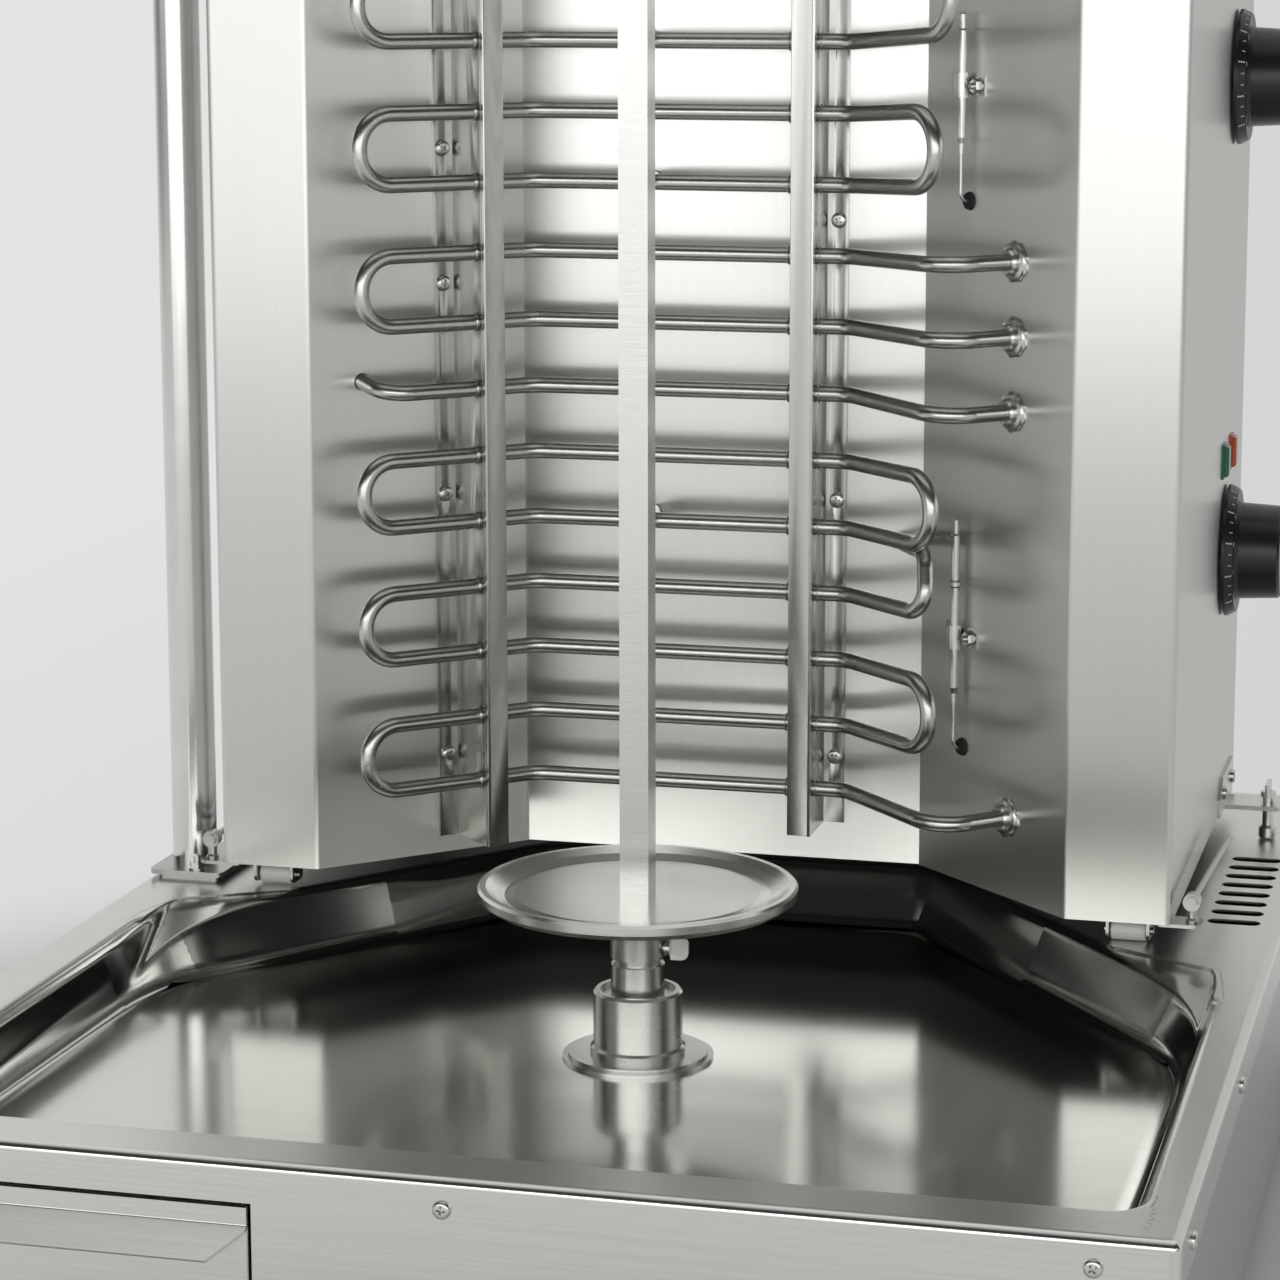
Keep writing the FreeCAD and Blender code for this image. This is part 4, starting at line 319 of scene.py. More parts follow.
# Grain of brushed sheet: noise scale along x, y and z, low along the brushing
UPRIGHT_BRUSH = (900.0, 900.0, 5.0)
LEVEL_BRUSH = (6.0, 6.0, 900.0)
SIDEWAYS_BRUSH = (6.0, 900.0, 6.0)
SPIT_AXIS = (0.01, -0.104)
SATIN_RIM = (0.1475, 0.1498, 0.17)    # heights between which the pan turns satin, and how much rougher it gets
BRUSHED = {"grain": UPRIGHT_BRUSH, "bump": 0.012, "patch": 0.02, "anisotropic": 0.85, "spread": 0.015}
BASE = {"roughness": 0.28, "grain": LEVEL_BRUSH, "bump": 0.08, "patch": 0.03}
POLISHED = {"roughness": 0.14, "grain": SIDEWAYS_BRUSH, "bump": 0.008, "patch": 0.02, "satin_above": SATIN_RIM}


def even(scale):
    """Grain that is the same in all directions."""
    return (scale, scale, scale)


materials = {
    "sheet": metal("brushed_sheet", (0.66, 0.662, 0.635), 0.31, **BRUSHED),
    "back_sheet": metal("brushed_back", (0.79, 0.79, 0.765), 0.30, **BRUSHED),
    "base_sheet": metal("brushed_base", (0.73, 0.73, 0.70), **BASE),
    "cabinet_sheet": metal("brushed_cabinet", (0.55, 0.55, 0.53), **BASE),
    "pan": metal("polished_pan", (0.71, 0.705, 0.672), **POLISHED),
    # The two darker copies of the pan metal below are painted dark reflection for the bends and walls at the back
    # of the pan
    "pan_bend_painted_reflection": metal("polished_bend_painted_reflection", (0.54, 0.536, 0.51), **POLISHED),
    "pan_wall_painted_reflection": metal("polished_wall_painted_reflection", (0.34, 0.337, 0.322), **POLISHED),
    "rod": metal("sheath_steel", (0.56, 0.555, 0.535), 0.27, even(300.0), 0.05),
    "turned": metal("turned_steel", (0.66, 0.655, 0.63), 0.27, (60.0, 60.0, 3000.0), 0.10),
    "plate": metal("turned_plate", (0.80, 0.795, 0.77), 0.20, (1800.0, 1.0, 900.0), 0.10, patch=0.02,
                   centre=SPIT_AXIS),
    # The bracket metal is a darker copy of the tower steel. Its darkness is painted contact shade that sets the
    # rear brackets off from the panels, and the pole foot, side rods and roller forks share it
    "bracket": metal("bracket_steel_painted_shade", (0.45, 0.45, 0.43), 0.27, UPRIGHT_BRUSH, 0.02, patch=0.02, spread=0.03),
    "underside": metal("dull_underside", (0.20, 0.20, 0.19), 0.5, even(300.0), 0.05, patch=0.04),
    "strap": metal("strap_steel", (0.62, 0.62, 0.595), 0.25, UPRIGHT_BRUSH, 0.02, patch=0.02, anisotropic=0.4,
                   spread=0.02),
    "mark": plastic("pale_marks", (0.55, 0.55, 0.53), 0.45),
    "chrome": metal("chromed_steel", (0.70, 0.70, 0.68), 0.19, even(40.0), 0.02, patch=0.02),
    "zinc": metal("zinc_plate", (0.66, 0.66, 0.64), 0.28, even(200.0), 0.06),
    "casting": plastic("grey_casting", (0.30, 0.32, 0.34), 0.55, 300.0, 0.2),
    "rubber": plastic("black_rubber", (0.02, 0.02, 0.02), 0.75),
    "black": plastic("black_plastic", (0.012, 0.012, 0.013), 0.32),
    "white": plastic("white_roller", (0.86, 0.86, 0.83), 0.30),
    "green": plastic("green_lens", (0.012, 0.13, 0.06), 0.20),
    "orange": plastic("orange_lens", (0.50, 0.085, 0.025), 0.20),
}

LOOKS = {
    "back_sheet": ["back_reflector"],
    "underside": ["tower_floor"],
    "cabinet_sheet": ["cabinet"],
    "sheet": ["casing_left", "casing_right", "tower_top", "rear_cover"],
    "bracket": ["rear_bracket_left", "rear_bracket_right", "pole_foot", "side_rods", "roller_forks"],
    "strap": ["front_bar_left", "front_bar_right", "clamp_bracket"],
    "plate": ["meat_plate"],
    "base_sheet": ["drawer_front", "drawer_tub"],
    "pan": ["top_pan"],
    "rod": ["element_1", "element_2", "element_3", "element_4", "element_5", "element_6", "element_7"],
    "turned": ["bearing_collar", "spit_shaft", "plate_boss", "skewer", "top_pin"],
    "chrome": ["pole", "top_arm"],
    "zinc": ["floor_plate", "base_screws", "drawer_rails", "motor_mount", "thumb_screw", "pole_bolts",
             "bar_screws", "element_glands", "thermostats", "clamp_screw", "probe_clips",
             "probe_lower", "probe_upper"],
    "casting": ["gear_motor"],
    "rubber": ["feet", "probe_grommets", "cable_gland"],
    "black": ["knob_lower", "knob_upper", "switch_frame"],
    "white": ["roller_front_left", "roller_front_right", "roller_rear_left", "roller_rear_right"],
    "green": ["lamps_green", "rocker"],
    "orange": ["lamps_orange"],
}
for look_name, node_names in LOOKS.items():
    for node_name in node_names:
        node_mesh = nodes[node_name].data
        node_mesh.materials.clear()
        node_mesh.materials.append(materials[look_name])

# ---------------------------------------------------------------- pressed lining of the drip pan
RIM_Z, PAN_FLOOR = 150.05, 118.12     # just above the frame's rim and pan floor
PAN_LEFT, PAN_RIGHT, PAN_FRONT, PAN_BACK = -271.0, 278.5, -346.5, 163.0
PAN_BACK_HALF, PAN_RISE = 106.5, 1.25  # half the back wall, and how steeply the angled walls run forward
ROLL, ROLL_START = 7.0, -5.2          # rolled mouth: radius and where it leaves the flat rim
DRAFTS = (8.0, 20.0)                  # lean of the pressed walls in degrees, at the front and at the back
DRAFT_Y, DRAFT_LENGTH = -160.0, 100.0  # where that lean starts to change, and over which length
FLOOR_BEND = 9.0
CORNER_BLEND = 26.0
CORNER_RADIUS = 20.0
FOLD_START = 208.0                    # where on an angled wall the crease of a sloped corner starts
CREASE_WIDTH = 16.0
LEFT_DROP, RIGHT_DROP = 18.0, 10.0    # how far the sloped corners fall
LOW_POINT = 10.0                      # how far in front of the wall's bend they are lowest
SLOPE_BLEND, MOUTH_BLEND = 7.0, 3.0
LEVEL = 0.01                          # a height this close to the rim counts as level with it

# The skin is a grid of rings, one for each distance inside the wall line.
FLAT_START, FLAT_STEP, FLAT_COUNT = -38.0, 1.1, 29
PRESSED_STEP, PRESSED_COUNT = 0.5, 50
ARC_STEPS, FINE_ARC_STEPS, FINE_STEP = 14, 34, 1.2
FINE_ARCS = (1, 4)                    # corners beside which the pan slopes
FINE_STRETCHES = {0: (0.84, 1.0), 1: (0.0, 0.58), 3: (0.42, 1.0), 4: (0.0, 0.16)}  # and parts of the walls there
SKIN_HALF, SKIN_FRONT = 0.2955, -0.3755   # edges of the flat rim, in metres
SKIN_CUT = 0.002                      # the skin ends where it comes this close to the flat rim
PAINTED_REFLECTION_FROM_Y = -0.03                   # behind this the walls are nearly black, and the steep faces get the darker pan metal: painted dark reflection
# how steep a face must be to get the painted dark reflection of a bend, and of a wall
BEND_STEEPNESS, WALL_STEEPNESS = 0.08, 0.3
PAN_MATERIALS = ("pan", "pan_bend_painted_reflection", "pan_wall_painted_reflection")


def wall_profile(inset, draft):
    """Height of the pressed surface at a distance inside the wall line."""
    if inset <= ROLL_START:
        return RIM_Z
    roll_z = RIM_Z - ROLL
    roll_end = ROLL_START + ROLL * math.cos(draft)
    if inset < roll_end:
        return roll_z + math.sqrt(max(ROLL ** 2 - (inset - ROLL_START) ** 2, 0.0))
    wall_top = roll_z + ROLL * math.sin(draft)
    bend_z = PAN_FLOOR + FLOOR_BEND
    foot_z = bend_z - FLOOR_BEND * math.sin(draft)
    foot = roll_end + (wall_top - foot_z) * math.tan(draft)
    if inset < foot:
        return wall_top - (inset - roll_end) / math.tan(draft)
    centre = foot + FLOOR_BEND * math.cos(draft)
    if inset < centre:
        return bend_z - math.sqrt(max(FLOOR_BEND ** 2 - (centre - inset) ** 2, 0.0))
    return PAN_FLOOR


def soft_min(a, b, width):
    """Smaller of two numbers, blended where they are closer than width."""
    near = max(width - abs(a - b), 0.0) / width
    return min(a, b) - near * near * width / 4


def corner_slope(x, y):
    """How far a point is past the crease of its sloped corner, and how far the corner has fallen there."""
    side_x, drop = (PAN_LEFT, LEFT_DROP) if x < 0 else (PAN_RIGHT, RIGHT_DROP)
    start_y = PAN_BACK - PAN_RISE * (FOLD_START - PAN_BACK_HALF)
    reach_x = abs(side_x) - FOLD_START
    length = math.hypot(reach_x, start_y)
    past = (start_y * (abs(side_x) - abs(x)) - reach_x * y) / length
    low_y = PAN_BACK - PAN_RISE * (abs(side_x) - PAN_BACK_HALF) - LOW_POINT
    slope = drop / (-low_y * reach_x / length)
    if past <= 0:
        fall = 0.0
    elif past < CREASE_WIDTH:
        fall = past * past / (2 * CREASE_WIDTH)
    else:
        fall = past - CREASE_WIDTH / 2
    return past, slope * fall


def pan_height(x, y):
    """Height of the pan's pressed surface, with its rolled mouth and the two sloped back corners."""
    diagonal = math.hypot(1.0, PAN_RISE)
    along = (PAN_BACK - y - PAN_RISE * (abs(x) - PAN_BACK_HALF)) / diagonal
    side = x - PAN_LEFT if x < 0 else PAN_RIGHT - x
    inset = soft_min(soft_min(side, y - PAN_FRONT, CORNER_BLEND), along, CORNER_BLEND)
    inset = soft_min(inset, PAN_BACK - y, CORNER_BLEND)
    back = min(max((y - DRAFT_Y) / DRAFT_LENGTH, 0.0), 1.0)
    draft = math.radians(DRAFTS[0] + (DRAFTS[1] - DRAFTS[0]) * back * back * (3 - 2 * back))
    hollow = wall_profile(inset, draft)
    past, fall = corner_slope(x, y)
    sloped = max(RIM_Z - fall, PAN_FLOOR)
    sloped = -soft_min(-sloped, -wall_profile(side, draft), SLOPE_BLEND)
    if sloped >= RIM_Z - LEVEL or past <= 0:
        return hollow
    return min(hollow, soft_min(hollow, sloped, MOUTH_BLEND))


def wall_line():
    """Points of the pan's rounded wall line, each with the direction that points inside."""
    corners = [Vector(corner) for corner in (
        (PAN_RIGHT, PAN_FRONT), (PAN_RIGHT, PAN_BACK - PAN_RISE * (PAN_RIGHT - PAN_BACK_HALF)),
        (PAN_BACK_HALF, PAN_BACK), (-PAN_BACK_HALF, PAN_BACK),
        (PAN_LEFT, PAN_BACK - PAN_RISE * (-PAN_LEFT - PAN_BACK_HALF)), (PAN_LEFT, PAN_FRONT))]
    arcs = []
    for i, corner in enumerate(corners):
        inward = (corner - corners[i - 1]).normalized()
        outward = (corners[(i + 1) % len(corners)] - corner).normalized()
        turn = math.acos(max(-1.0, min(1.0, inward.dot(outward))))
        start = corner - inward * (CORNER_RADIUS * math.tan(turn / 2))
        normal = Vector((-inward.y, inward.x))
        centre = start + normal * CORNER_RADIUS
        steps = FINE_ARC_STEPS if i in FINE_ARCS else ARC_STEPS
        arc = []
        for step in range(steps + 1):
            spoke = Matrix.Rotation(turn * step / steps, 2) @ (-normal)
            arc.append((centre + spoke * CORNER_RADIUS, -spoke))
        arcs.append(arc)
    ring = []
    for i, arc in enumerate(arcs):
        ring += arc
        if i not in FINE_STRETCHES:
            continue
        first, last = arc[-1], arcs[(i + 1) % len(arcs)][0]
        fine_from, fine_to = FINE_STRETCHES[i]
        steps = int((fine_to - fine_from) * (last[0] - first[0]).length / FINE_STEP)
        for step in range(steps + 1):
            part = fine_from + (fine_to - fine_from) * step / steps
            if 0.0 < part < 1.0:
                ring.append((first[0].lerp(last[0], part), first[1]))
    return ring


def pan_lining():
    """Skin of the drawn pan: rolled mouth, leaning walls, floor bends and sloped corners."""
    insets = [FLAT_START + FLAT_STEP * step for step in range(FLAT_COUNT)]
    insets += [ROLL_START + PRESSED_STEP * step for step in range(PRESSED_COUNT)]
    build = bmesh.new()
    rows = []
    for place, normal in wall_line():
        row = []
        for inset in insets:
            point = place + normal * inset
            row.append(build.verts.new((point.x * MM, point.y * MM, pan_height(point.x, point.y) * MM)))
        rows.append(row)
    flat = (RIM_Z - SKIN_CUT) * MM
    for i, row in enumerate(rows):
        following = rows[(i + 1) % len(rows)]
        for k in range(len(insets) - 1):
            corners = (row[k], following[k], following[k + 1], row[k + 1])
            inside = all(abs(vertex.co.x) < SKIN_HALF and vertex.co.y > SKIN_FRONT for vertex in corners)
            if inside and min(vertex.co.z for vertex in corners) < flat:
                face = build.faces.new(corners)
                face.smooth = True
    loose = [vertex for vertex in build.verts if not vertex.link_faces]
    bmesh.ops.delete(build, geom=loose, context="VERTS")
    bmesh.ops.recalc_face_normals(build, faces=build.faces)
    mesh = bpy.data.meshes.new("pan_lining")
    build.to_mesh(mesh)
    build.free()
    lining = add_object("pan_lining", mesh)
    for look in PAN_MATERIALS:
        mesh.materials.append(materials[look])
    for face in mesh.polygons:
        # Steep faces behind that line get the darker copies of the pan metal: painted dark reflection
        steep = 1.0 - abs(face.normal.z)
        if face.center.y > PAINTED_REFLECTION_FROM_Y and steep > BEND_STEEPNESS:
            face.material_index = PAN_MATERIALS.index("pan_wall_painted_reflection" if steep > WALL_STEEPNESS else "pan_bend_painted_reflection")
    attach(lining, "base")


pan_lining()

# ---------------------------------------------------------------- small pieces modelled over the CAD
SHARP = math.radians(32)              # edges sharper than this stay sharp under smooth shading
FOLD_X, FOLD_Y = 106.0, 109.7         # fold between the back reflector and the right angled panel
PANEL_X, PANEL_Y = 0.716, 0.698       # direction of that panel: sideways and forward
PANEL_OUT = Vector((-PANEL_Y, -PANEL_X, 0.0))       # from the right angled panel towards the meat
FIRST_ROW, LOW_PITCH, HIGH_PITCH, PITCH_CHANGE, ROWS = 209.6, 34.6, 36.0, 7, 15
ROW_Z = [FIRST_ROW + LOW_PITCH * min(row, PITCH_CHANGE) + HIGH_PITCH * max(row - PITCH_CHANGE, 0)
         for row in range(ROWS)]
SQUARE = [(-1, -1), (1, -1), (1, 1), (-1, 1)]
BLOCK_LAYERS = ((-1, 1.0), (0.3, 1.0), (1, 0.8))    # a small block's layers: place along its height, and size


def close_band(build, lower, upper):
    """Faces between two rings of as many vertices."""
    for i in range(len(lower)):
        j = (i + 1) % len(lower)
        build.faces.new((lower[i], lower[j], upper[j], upper[i]))


def turned(build, profile, origin, axis, steps=24, closed=False, cap_end=True):
    """Turn (radius, height) points about an axis; a radius may be a function of the angle."""
    axis = Vector(axis).normalized()
    across = axis.orthogonal().normalized()
    along = axis.cross(across)
    rings = []
    for radius, height in profile:
        ring = []
        for step in range(steps):
            angle = 2 * math.pi * step / steps
            reach = radius(angle) if callable(radius) else radius
            spoke = across * math.cos(angle) + along * math.sin(angle)
            ring.append(build.verts.new((Vector(origin) + axis * height + spoke * reach) * MM))
        rings.append(ring)
    for lower, upper in zip(rings, rings[1:]):
        close_band(build, lower, upper)
    if closed:
        close_band(build, rings[-1], rings[0])
    else:
        build.faces.new(rings[0])
        if cap_end:
            build.faces.new(rings[-1])
    return rings


def bar_block(build, centre, sides):
    """Small block with a chamfered top: three half-side vectors, the last one pointing outwards."""
    u, v, w = (Vector(side) for side in sides)
    rows = [[build.verts.new((Vector(centre) + (u * a + v * b) * size + w * c) * MM) for a, b in SQUARE]
            for c, size in BLOCK_LAYERS]
    for lower, upper in zip(rows, rows[1:]):
        close_band(build, lower, upper)
    build.faces.new(rows[0])
    build.faces.new(rows[-1])


def place_piece(build, name, look, body, replaced=None):
    """Turn a finished bmesh into a scene piece that rides on a body."""
    bmesh.ops.recalc_face_normals(build, faces=build.faces)
    mesh = bpy.data.meshes.new(name)
    build.to_mesh(mesh)
    build.free()
    for face in mesh.polygons:
        face.use_smooth = True
    mesh.set_sharp_from_angle(angle=SHARP)
    thing = add_object(name, mesh)
    mesh.materials.append(materials[look])
    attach(thing, body)
    if replaced:
        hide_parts(replaced)


# Screws: M4 with a pan head and a cross recess
SHANK, HEAD_TOP = 2.0, 2.3
HEAD = [(3.9, 0.0), (4.0, 0.25), (4.0, 0.9), (3.8, 1.5), (3.3, 2.0), (2.6, HEAD_TOP)]
RECESS_ARM, RECESS_HALF, RECESS_FLOOR, RECESS_TAPER = 1.95, 0.44, 0.9, 0.55
RIM_HALF, RIM_FRONT, RIM_SCREW_Z = 300.0, -380.0, 137.0
FRONT_SCREW_X = (-266.0, 0.0, 266.0)
SIDE_SCREW_Y = (-340.0, -137.0, 150.0, 340.0)
FOOT_X, FOOT_Y = 262.0, 342.0
# Turned parts of a foot's bolt: profile and number of sides
FOOT_BOLT = [([(3.0, 2.5), (3.0, 34.0)], 16),
             ([(5.77, 2.5), (5.77, 6.5), (5.3, 6.9)], 6),
             ([(5.3, 26.6), (5.77, 27.0), (5.77, 31.2), (5.3, 31.6)], 6)]
RIM_SHANK, STRAP_SHANK = 7.0, 1.4
RIM_TURN, LEFT_TURN, RIGHT_TURN = 0.7, 0.4, 0.9     # turns of the recesses in radians, so no two look alike
LEFT_STRAP_X, LEFT_STRAP_Y, LEFT_STRAP_OUT = -141.12, 73.38, (0.695, -0.719, 0.0)
LEFT_STRAP_Z = (219.0, 359.0, 470.0, 540.0, 685.0)
RIGHT_STRAP_X, RIGHT_STRAP_Y, RIGHT_STRAP_OUT = 62.0, 108.2, (0, -1, 0)
RIGHT_STRAP_Z = (221.0, 358.0, 504.0, 650.0)


def cross_screw(build, seat, outward, spin, shank):
    """Pan-head screw with a cross recess, turned by spin, whose shank goes that far into its seat."""
    profile = [(SHANK, -shank), (SHANK, 0.0)] + HEAD
    rim = turned(build, profile, seat, outward, cap_end=False)[-1]
    axis = Vector(outward).normalized()
    across = (Matrix.Rotation(spin, 3, axis) @ axis.orthogonal()).normalized()
    along = axis.cross(across)
    outline = []
    for ahead, beside in ((across, along), (along, -across), (-across, -along), (-along, across)):
        outline += [ahead * RECESS_ARM - beside * RECESS_HALF, ahead * RECESS_ARM + beside * RECESS_HALF,
                    ahead * RECESS_HALF + beside * RECESS_HALF]
    seat = Vector(seat)
    top = [build.verts.new((seat + axis * HEAD_TOP + point) * MM) for point in outline]
    low = [build.verts.new((seat + axis * RECESS_FLOOR + point * RECESS_TAPER) * MM) for point in outline]
    edges = []
    for loop in (rim, top):
        for i, vertex in enumerate(loop):
            other = loop[(i + 1) % len(loop)]
            edges.append(build.edges.get((vertex, other)) or build.edges.new((vertex, other)))
    bmesh.ops.triangle_fill(build, use_beauty=True, edges=edges)
    close_band(build, top, low)
    build.faces.new(low)


def rim_fasteners():
    """Screws around the rim of the pan and the four bolts that hold the feet."""
    build = bmesh.new()
    seats = [((x, RIM_FRONT, RIM_SCREW_Z), (0, -1, 0)) for x in FRONT_SCREW_X]
    seats += [((side * RIM_HALF, y, RIM_SCREW_Z), (side, 0, 0)) for side in (-1, 1) for y in SIDE_SCREW_Y]
    for i, (seat, outward) in enumerate(seats):
        cross_screw(build, seat, outward, RIM_TURN * i, RIM_SHANK)
    for x in (-FOOT_X, FOOT_X):
        for y in (-FOOT_Y, FOOT_Y):
            for profile, sides in FOOT_BOLT:
                turned(build, profile, (x, y, 0.0), (0, 0, 1), steps=sides)
    place_piece(build, "rim_screws_detail", "zinc", "base", "base_screws")


def strap_fasteners():
    """Screws of the rod brackets."""
    build = bmesh.new()
    for i, z in enumerate(LEFT_STRAP_Z):
        cross_screw(build, (LEFT_STRAP_X, LEFT_STRAP_Y, z), LEFT_STRAP_OUT, LEFT_TURN + i, STRAP_SHANK)
    for i, z in enumerate(RIGHT_STRAP_Z):
        cross_screw(build, (RIGHT_STRAP_X, RIGHT_STRAP_Y, z), RIGHT_STRAP_OUT, RIGHT_TURN * i, STRAP_SHANK)
    place_piece(build, "bar_screws_detail", "zinc", "tower", "bar_screws")


GLAND_X, GLAND_Y = 161.86, 55.26
CRIMP, CRIMP_TOP = (10.3, 0.4, 0.15), (8.9, 0.45, 0.0)    # radius, depth of the lobes and a finer ripple
CRIMP_TURN = 0.5
GLAND_Z = (206.8, 414.4, 451.8, 489.3, 676.8, 714.3)


def lobed(form, shift):
    """Radius of a nine-lobed ring as a function of the angle."""
    radius, depth, ripple = form
    return lambda angle: radius + depth * math.sin(9 * angle + shift) + ripple * math.sin(4 * angle)


def crimped_washers():
    """Lobed flange pressed around each gland where a rod enters the right panel."""
    build = bmesh.new()
    for i, z in enumerate(GLAND_Z):
        outer, inner = lobed(CRIMP, CRIMP_TURN * i), lobed(CRIMP_TOP, CRIMP_TURN * i)
        profile = [(outer, 0.02), (outer, 0.75), (inner, 1.35), (7.6, 1.9), (7.6, 0.02)]
        turned(build, profile, Vector((GLAND_X, GLAND_Y, z)), PANEL_OUT, steps=56, closed=True)
    place_piece(build, "gland_crimps", "zinc", "tower")


ROD_RING = [(4.12, -0.5), (4.7, -0.5), (4.95, -0.2), (4.95, 0.2), (4.7, 0.5), (4.12, 0.5)]
BACK_ROD_Y, BACK_RINGS_X = 81.7, (41.6, 58.0)
LEFT_RING_ALONG, LEFT_RING_OUT = 46.2, 28.0   # place of the left rings, along the left panel and off it


def rod_rings():
    """Thin stop rings on the rods beside the brackets."""
    build = bmesh.new()
    left = Vector((-(FOLD_X + PANEL_X * LEFT_RING_ALONG - PANEL_Y * LEFT_RING_OUT),
                   FOLD_Y - PANEL_Y * LEFT_RING_ALONG - PANEL_X * LEFT_RING_OUT, 0.0))
    for z in ROW_Z:
        for x in BACK_RINGS_X:
            turned(build, ROD_RING, (x, BACK_ROD_Y, z), (1, 0, 0), steps=20, closed=True)
        turned(build, ROD_RING, left + Vector((0, 0, z)), (-PANEL_X, -PANEL_Y, 0.0), steps=20, closed=True)
    place_piece(build, "rod_rings", "rod", "tower")


# Digits as seven strokes, and each stroke's place: across, up, and whether it lies flat or stands
STROKES = {"0": "abcdef", "1": "bc", "2": "abged", "3": "abgcd", "4": "fgbc", "5": "afgcd", "6": "afgedc",
           "7": "abc", "8": "abcdefg", "9": "abcdfg"}
STROKE_PLACES = {"a": (0, 1, 1, 0), "b": (1, 0.5, 0, 1), "c": (1, -0.5, 0, 1), "d": (0, -1, 1, 0),
                 "e": (-1, -0.5, 0, 1), "f": (-1, 0.5, 0, 1), "g": (0, 0, 1, 0)}
DIGIT_HALF, DIGIT_RISE, STROKE = 0.95, 1.75, 0.24
DIGIT_X, DIGIT_RADIUS, DIGIT_RELIEF = 258.02, 30.6, 0.1
KNOB_Y, LOWER_KNOB_Z, UPPER_KNOB_Z = 246.0, 317.0, 574.0
DIAL_START, DIAL_STEP, MINOR_STEP = 225, 30, 10     # degrees
SKIRT_X, SKIRT_R = 4.5, 2.5           # slope of the skirt's edge: along the knob's axis and towards it
MARK_RELIEF = 0.14
MAJOR_MARK = (255.75, 34.8, 1.9, 0.42)    # place along x, radius, half length and half width
MINOR_MARK = (256.5, 34.35, 0.9, 0.3)
END_RING = [(20.6, 281.7), (23.6, 281.7), (23.6, 282.1), (23.0, 282.3), (21.2, 282.3), (20.6, 282.1)]


def skirt_mark(build, hub, degrees, mark):
    """Tick mark on the sloped edge of a knob's skirt."""
    x, radius, half_length, half_width = mark
    angle = math.radians(degrees)
    spoke = Vector((0.0, math.cos(angle), math.sin(angle)))
    beside = Vector((0.0, math.sin(angle), -math.cos(angle)))
    lean = (Vector((SKIRT_X, 0, 0)) - spoke * SKIRT_R).normalized()
    outward = (spoke * SKIRT_X + Vector((SKIRT_R, 0, 0))).normalized()
    bar_block(build, hub + Vector((x, 0, 0)) + spoke * radius,
              (lean * half_length, beside * half_width, outward * MARK_RELIEF))
    return spoke, beside


def dial(name, z, body):
    """Tick marks and plain numbers on a knob's skirt, and the pale ring on its end."""
    build = bmesh.new()
    hub = Vector((0.0, KNOB_Y, z))
    for count in range(10):
        degrees = DIAL_START - DIAL_STEP * count
        spoke, beside = skirt_mark(build, hub, degrees, MAJOR_MARK)
        if count < 9:
            for part in (1, 2):
                skirt_mark(build, hub, degrees - MINOR_STEP * part, MINOR_MARK)
        for letter in STROKES[str(count)]:
            x, y, flat, tall = STROKE_PLACES[letter]
            centre = (hub + Vector((DIGIT_X, 0, 0)) + spoke * (DIGIT_RADIUS + y * DIGIT_RISE)
                      + beside * x * DIGIT_HALF)
            bar_block(build, centre, (beside * (DIGIT_HALF if flat else STROKE),
                                      spoke * (DIGIT_RISE / 2 if tall else STROKE), Vector((DIGIT_RELIEF, 0, 0))))
    turned(build, END_RING, (0.0, KNOB_Y, z), (1, 0, 0), steps=48, closed=True)
    place_piece(build, name, "mark", body)


WELD, FLAT_ANGLE, EDGE_ANGLE = 1e-6, math.radians(1), math.radians(40)
BAR_EDGE, BRACKET_EDGE = 0.35, 0.3    # width of the rounded edges


def softened(node_name, name, body, width, look="strap"):
    """Copy of a CAD piece with its edges rounded, so they catch the light."""
    build = bmesh.new()
    build.from_mesh(nodes[node_name].data)
    build.transform(nodes[node_name].matrix_world)
    bmesh.ops.remove_doubles(build, verts=build.verts, dist=WELD)
    bmesh.ops.dissolve_limit(build, angle_limit=FLAT_ANGLE, verts=build.verts, edges=build.edges)
    sharp = [edge for edge in build.edges if len(edge.link_faces) == 2 and edge.calc_face_angle() > EDGE_ANGLE]
    bmesh.ops.bevel(build, geom=sharp, offset=width * MM, segments=2, profile=0.5, affect="EDGES",
                    clamp_overlap=True)
    place_piece(build, name, look, body, node_name)


CLIP_Z = (294.2, 574.6)
TAB_ALONG, POST_ALONG, STUD_ALONG = 44.2, 36.4, 46.6  # places along the right panel, from its fold
TAB_OUT, POST_OUT, STUD_OUT = 0.6, 4.3, 1.15          # and off the panel
TAB_HALF, POST_HALF = (7.2, 5.0, 0.55), (0.6, 5.0, 4.2)   # half sizes along the panel, up and off the panel
WASHER = [(1.6, 0.0), (4.5, 0.0), (4.6, 0.2), (4.5, 0.8), (1.6, 0.8)]
NUT = [(3.5, 0.8), (3.9, 1.2), (3.9, 3.0), (3.5, 3.4)]
STUD = [(1.7, 3.0), (1.7, 4.8), (1.3, 5.2)]


def clip_nuts():
    """Tab, washer, nut and stud that hold each probe's clip, to the right of the probe."""
    build = bmesh.new()
    along, up = Vector((PANEL_X, -PANEL_Y, 0.0)), Vector((0, 0, 1))
    foot = Vector((FOLD_X, FOLD_Y, 0.0))
    for z in CLIP_Z:
        tab = foot + along * TAB_ALONG + PANEL_OUT * TAB_OUT + up * z
        bar_block(build, tab, (along * TAB_HALF[0], up * TAB_HALF[1], PANEL_OUT * TAB_HALF[2]))
        post = foot + along * POST_ALONG + PANEL_OUT * POST_OUT + up * z
        bar_block(build, post, (PANEL_OUT * POST_HALF[2], up * POST_HALF[1], along * POST_HALF[0]))
        seat = foot + along * STUD_ALONG + PANEL_OUT * STUD_OUT + up * z
        turned(build, WASHER, seat, PANEL_OUT, steps=28, closed=True)
        turned(build, NUT, seat, PANEL_OUT, steps=6)
        turned(build, STUD, seat, PANEL_OUT, steps=16)
    place_piece(build, "clip_nuts", "zinc", "tower")


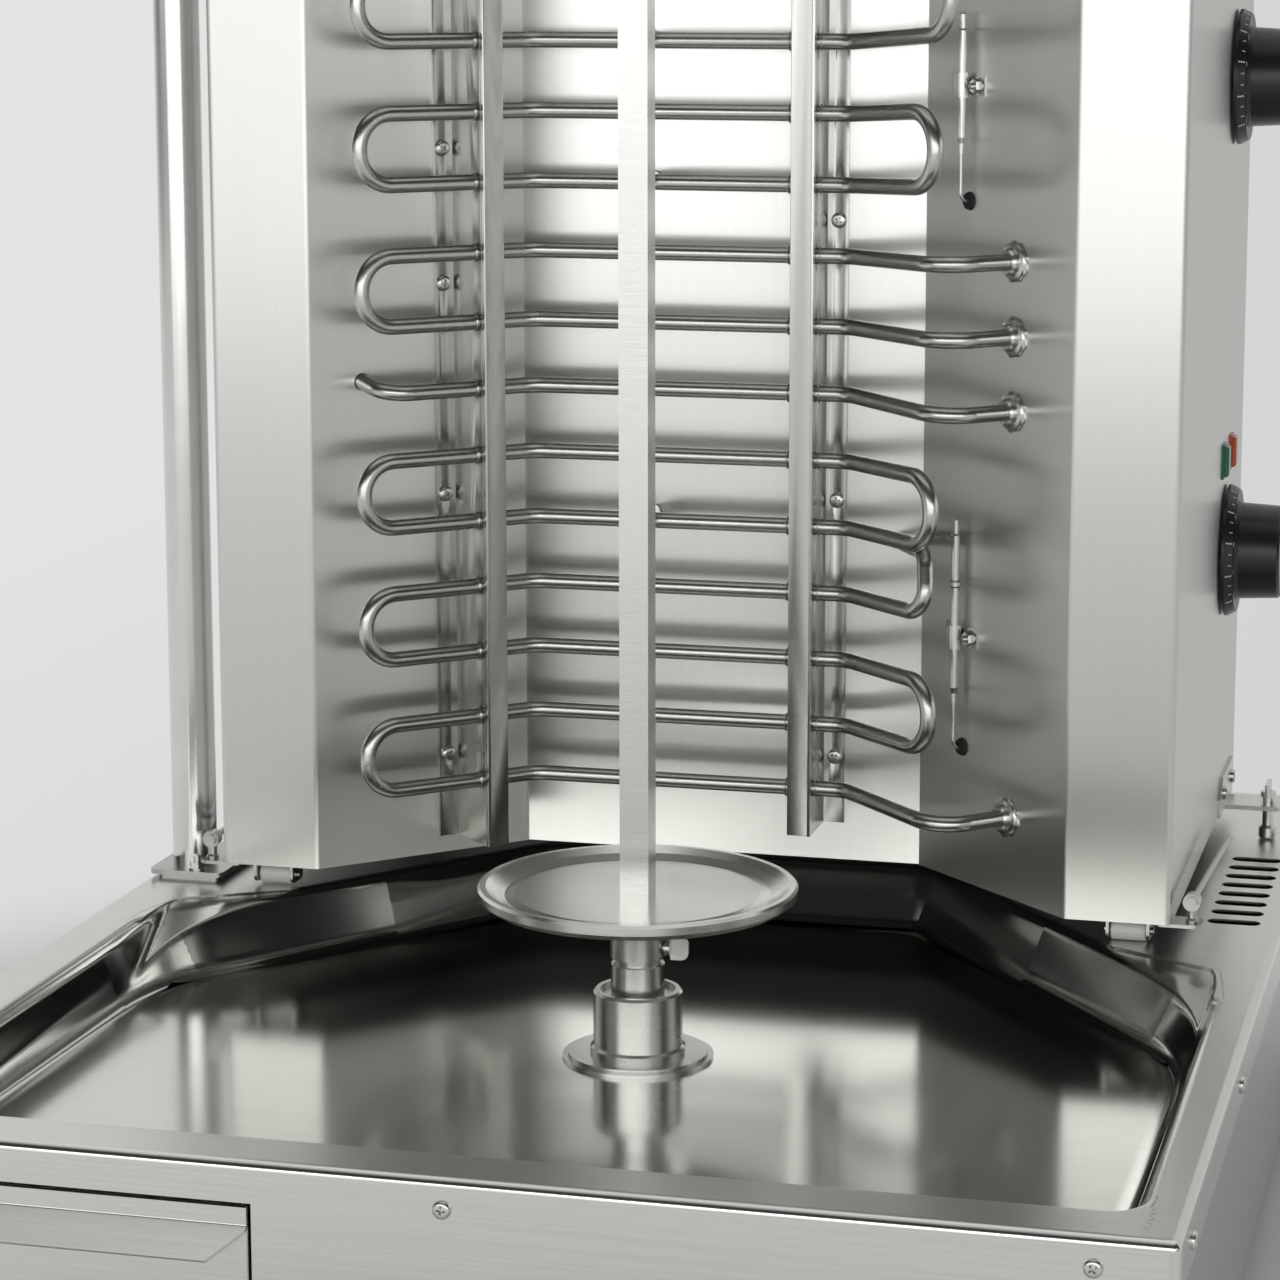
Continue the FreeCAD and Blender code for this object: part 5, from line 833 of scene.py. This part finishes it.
SKIN_DEPTHS = (-0.2, 0.06)            # a brushed face reaches from inside the CAD's face to just proud of it
APRON = ((-295.5, 28.6), (295.5, 145.4))
APRON_HOLE = ((-284.1, 39.9), (-82.9, 132.1))       # a little wider than the drawer's opening
RIM_SIDE = ((-375.5, 126.4), (375.5, 145.4))


def rectangle(low, high):
    """Corners of a rectangle, in order."""
    return [low, (high[0], low[1]), high, (low[0], high[1])]


def framed_plate(build, axis_u, axis_v, outward, level, outer, hole=None):
    """Thin closed plate on a flat face, with one rectangular opening if it has a hole."""
    u, v, w = Vector(axis_u), Vector(axis_v), Vector(outward)
    loops = [rectangle(*outer)]
    if hole:
        loops.append(rectangle(*hole))
    layers = [[[build.verts.new((u * a + v * b + w * (level + depth)) * MM) for a, b in loop] for loop in loops]
              for depth in SKIN_DEPTHS]
    for i in range(4):
        j = (i + 1) % 4
        for back, front in zip(*layers):
            build.faces.new((back[i], back[j], front[j], front[i]))
        if hole:
            for around, inside in layers:
                build.faces.new((around[i], around[j], inside[j], inside[i]))
    if not hole:
        for layer in layers:
            build.faces.new(layer[0])


def rim_skins():
    """Brushed faces of the pan's front apron and of the rim's two sides."""
    build = bmesh.new()
    framed_plate(build, (1, 0, 0), (0, 0, 1), (0, -1, 0), -RIM_FRONT, APRON, APRON_HOLE)
    place_piece(build, "apron_face", "base_sheet", "base")
    build = bmesh.new()
    for side in (-1, 1):
        framed_plate(build, (0, side, 0), (0, 0, 1), (side, 0, 0), RIM_HALF, RIM_SIDE)
    place_piece(build, "rim_sides", "base_sheet", "base")


rim_fasteners()
clip_nuts()
rim_skins()
strap_fasteners()
crimped_washers()
rod_rings()
dial("dial_lower", LOWER_KNOB_Z, "knob_lower_body")
dial("dial_upper", UPPER_KNOB_Z, "knob_upper_body")
softened("front_bar_left", "front_bar_left_soft", "tower", BAR_EDGE)
softened("front_bar_right", "front_bar_right_soft", "tower", BAR_EDGE)
softened("rear_bracket_left", "rear_bracket_left_soft", "tower", BRACKET_EDGE, "bracket")
softened("rear_bracket_right", "rear_bracket_right_soft", "tower", BRACKET_EDGE, "bracket")
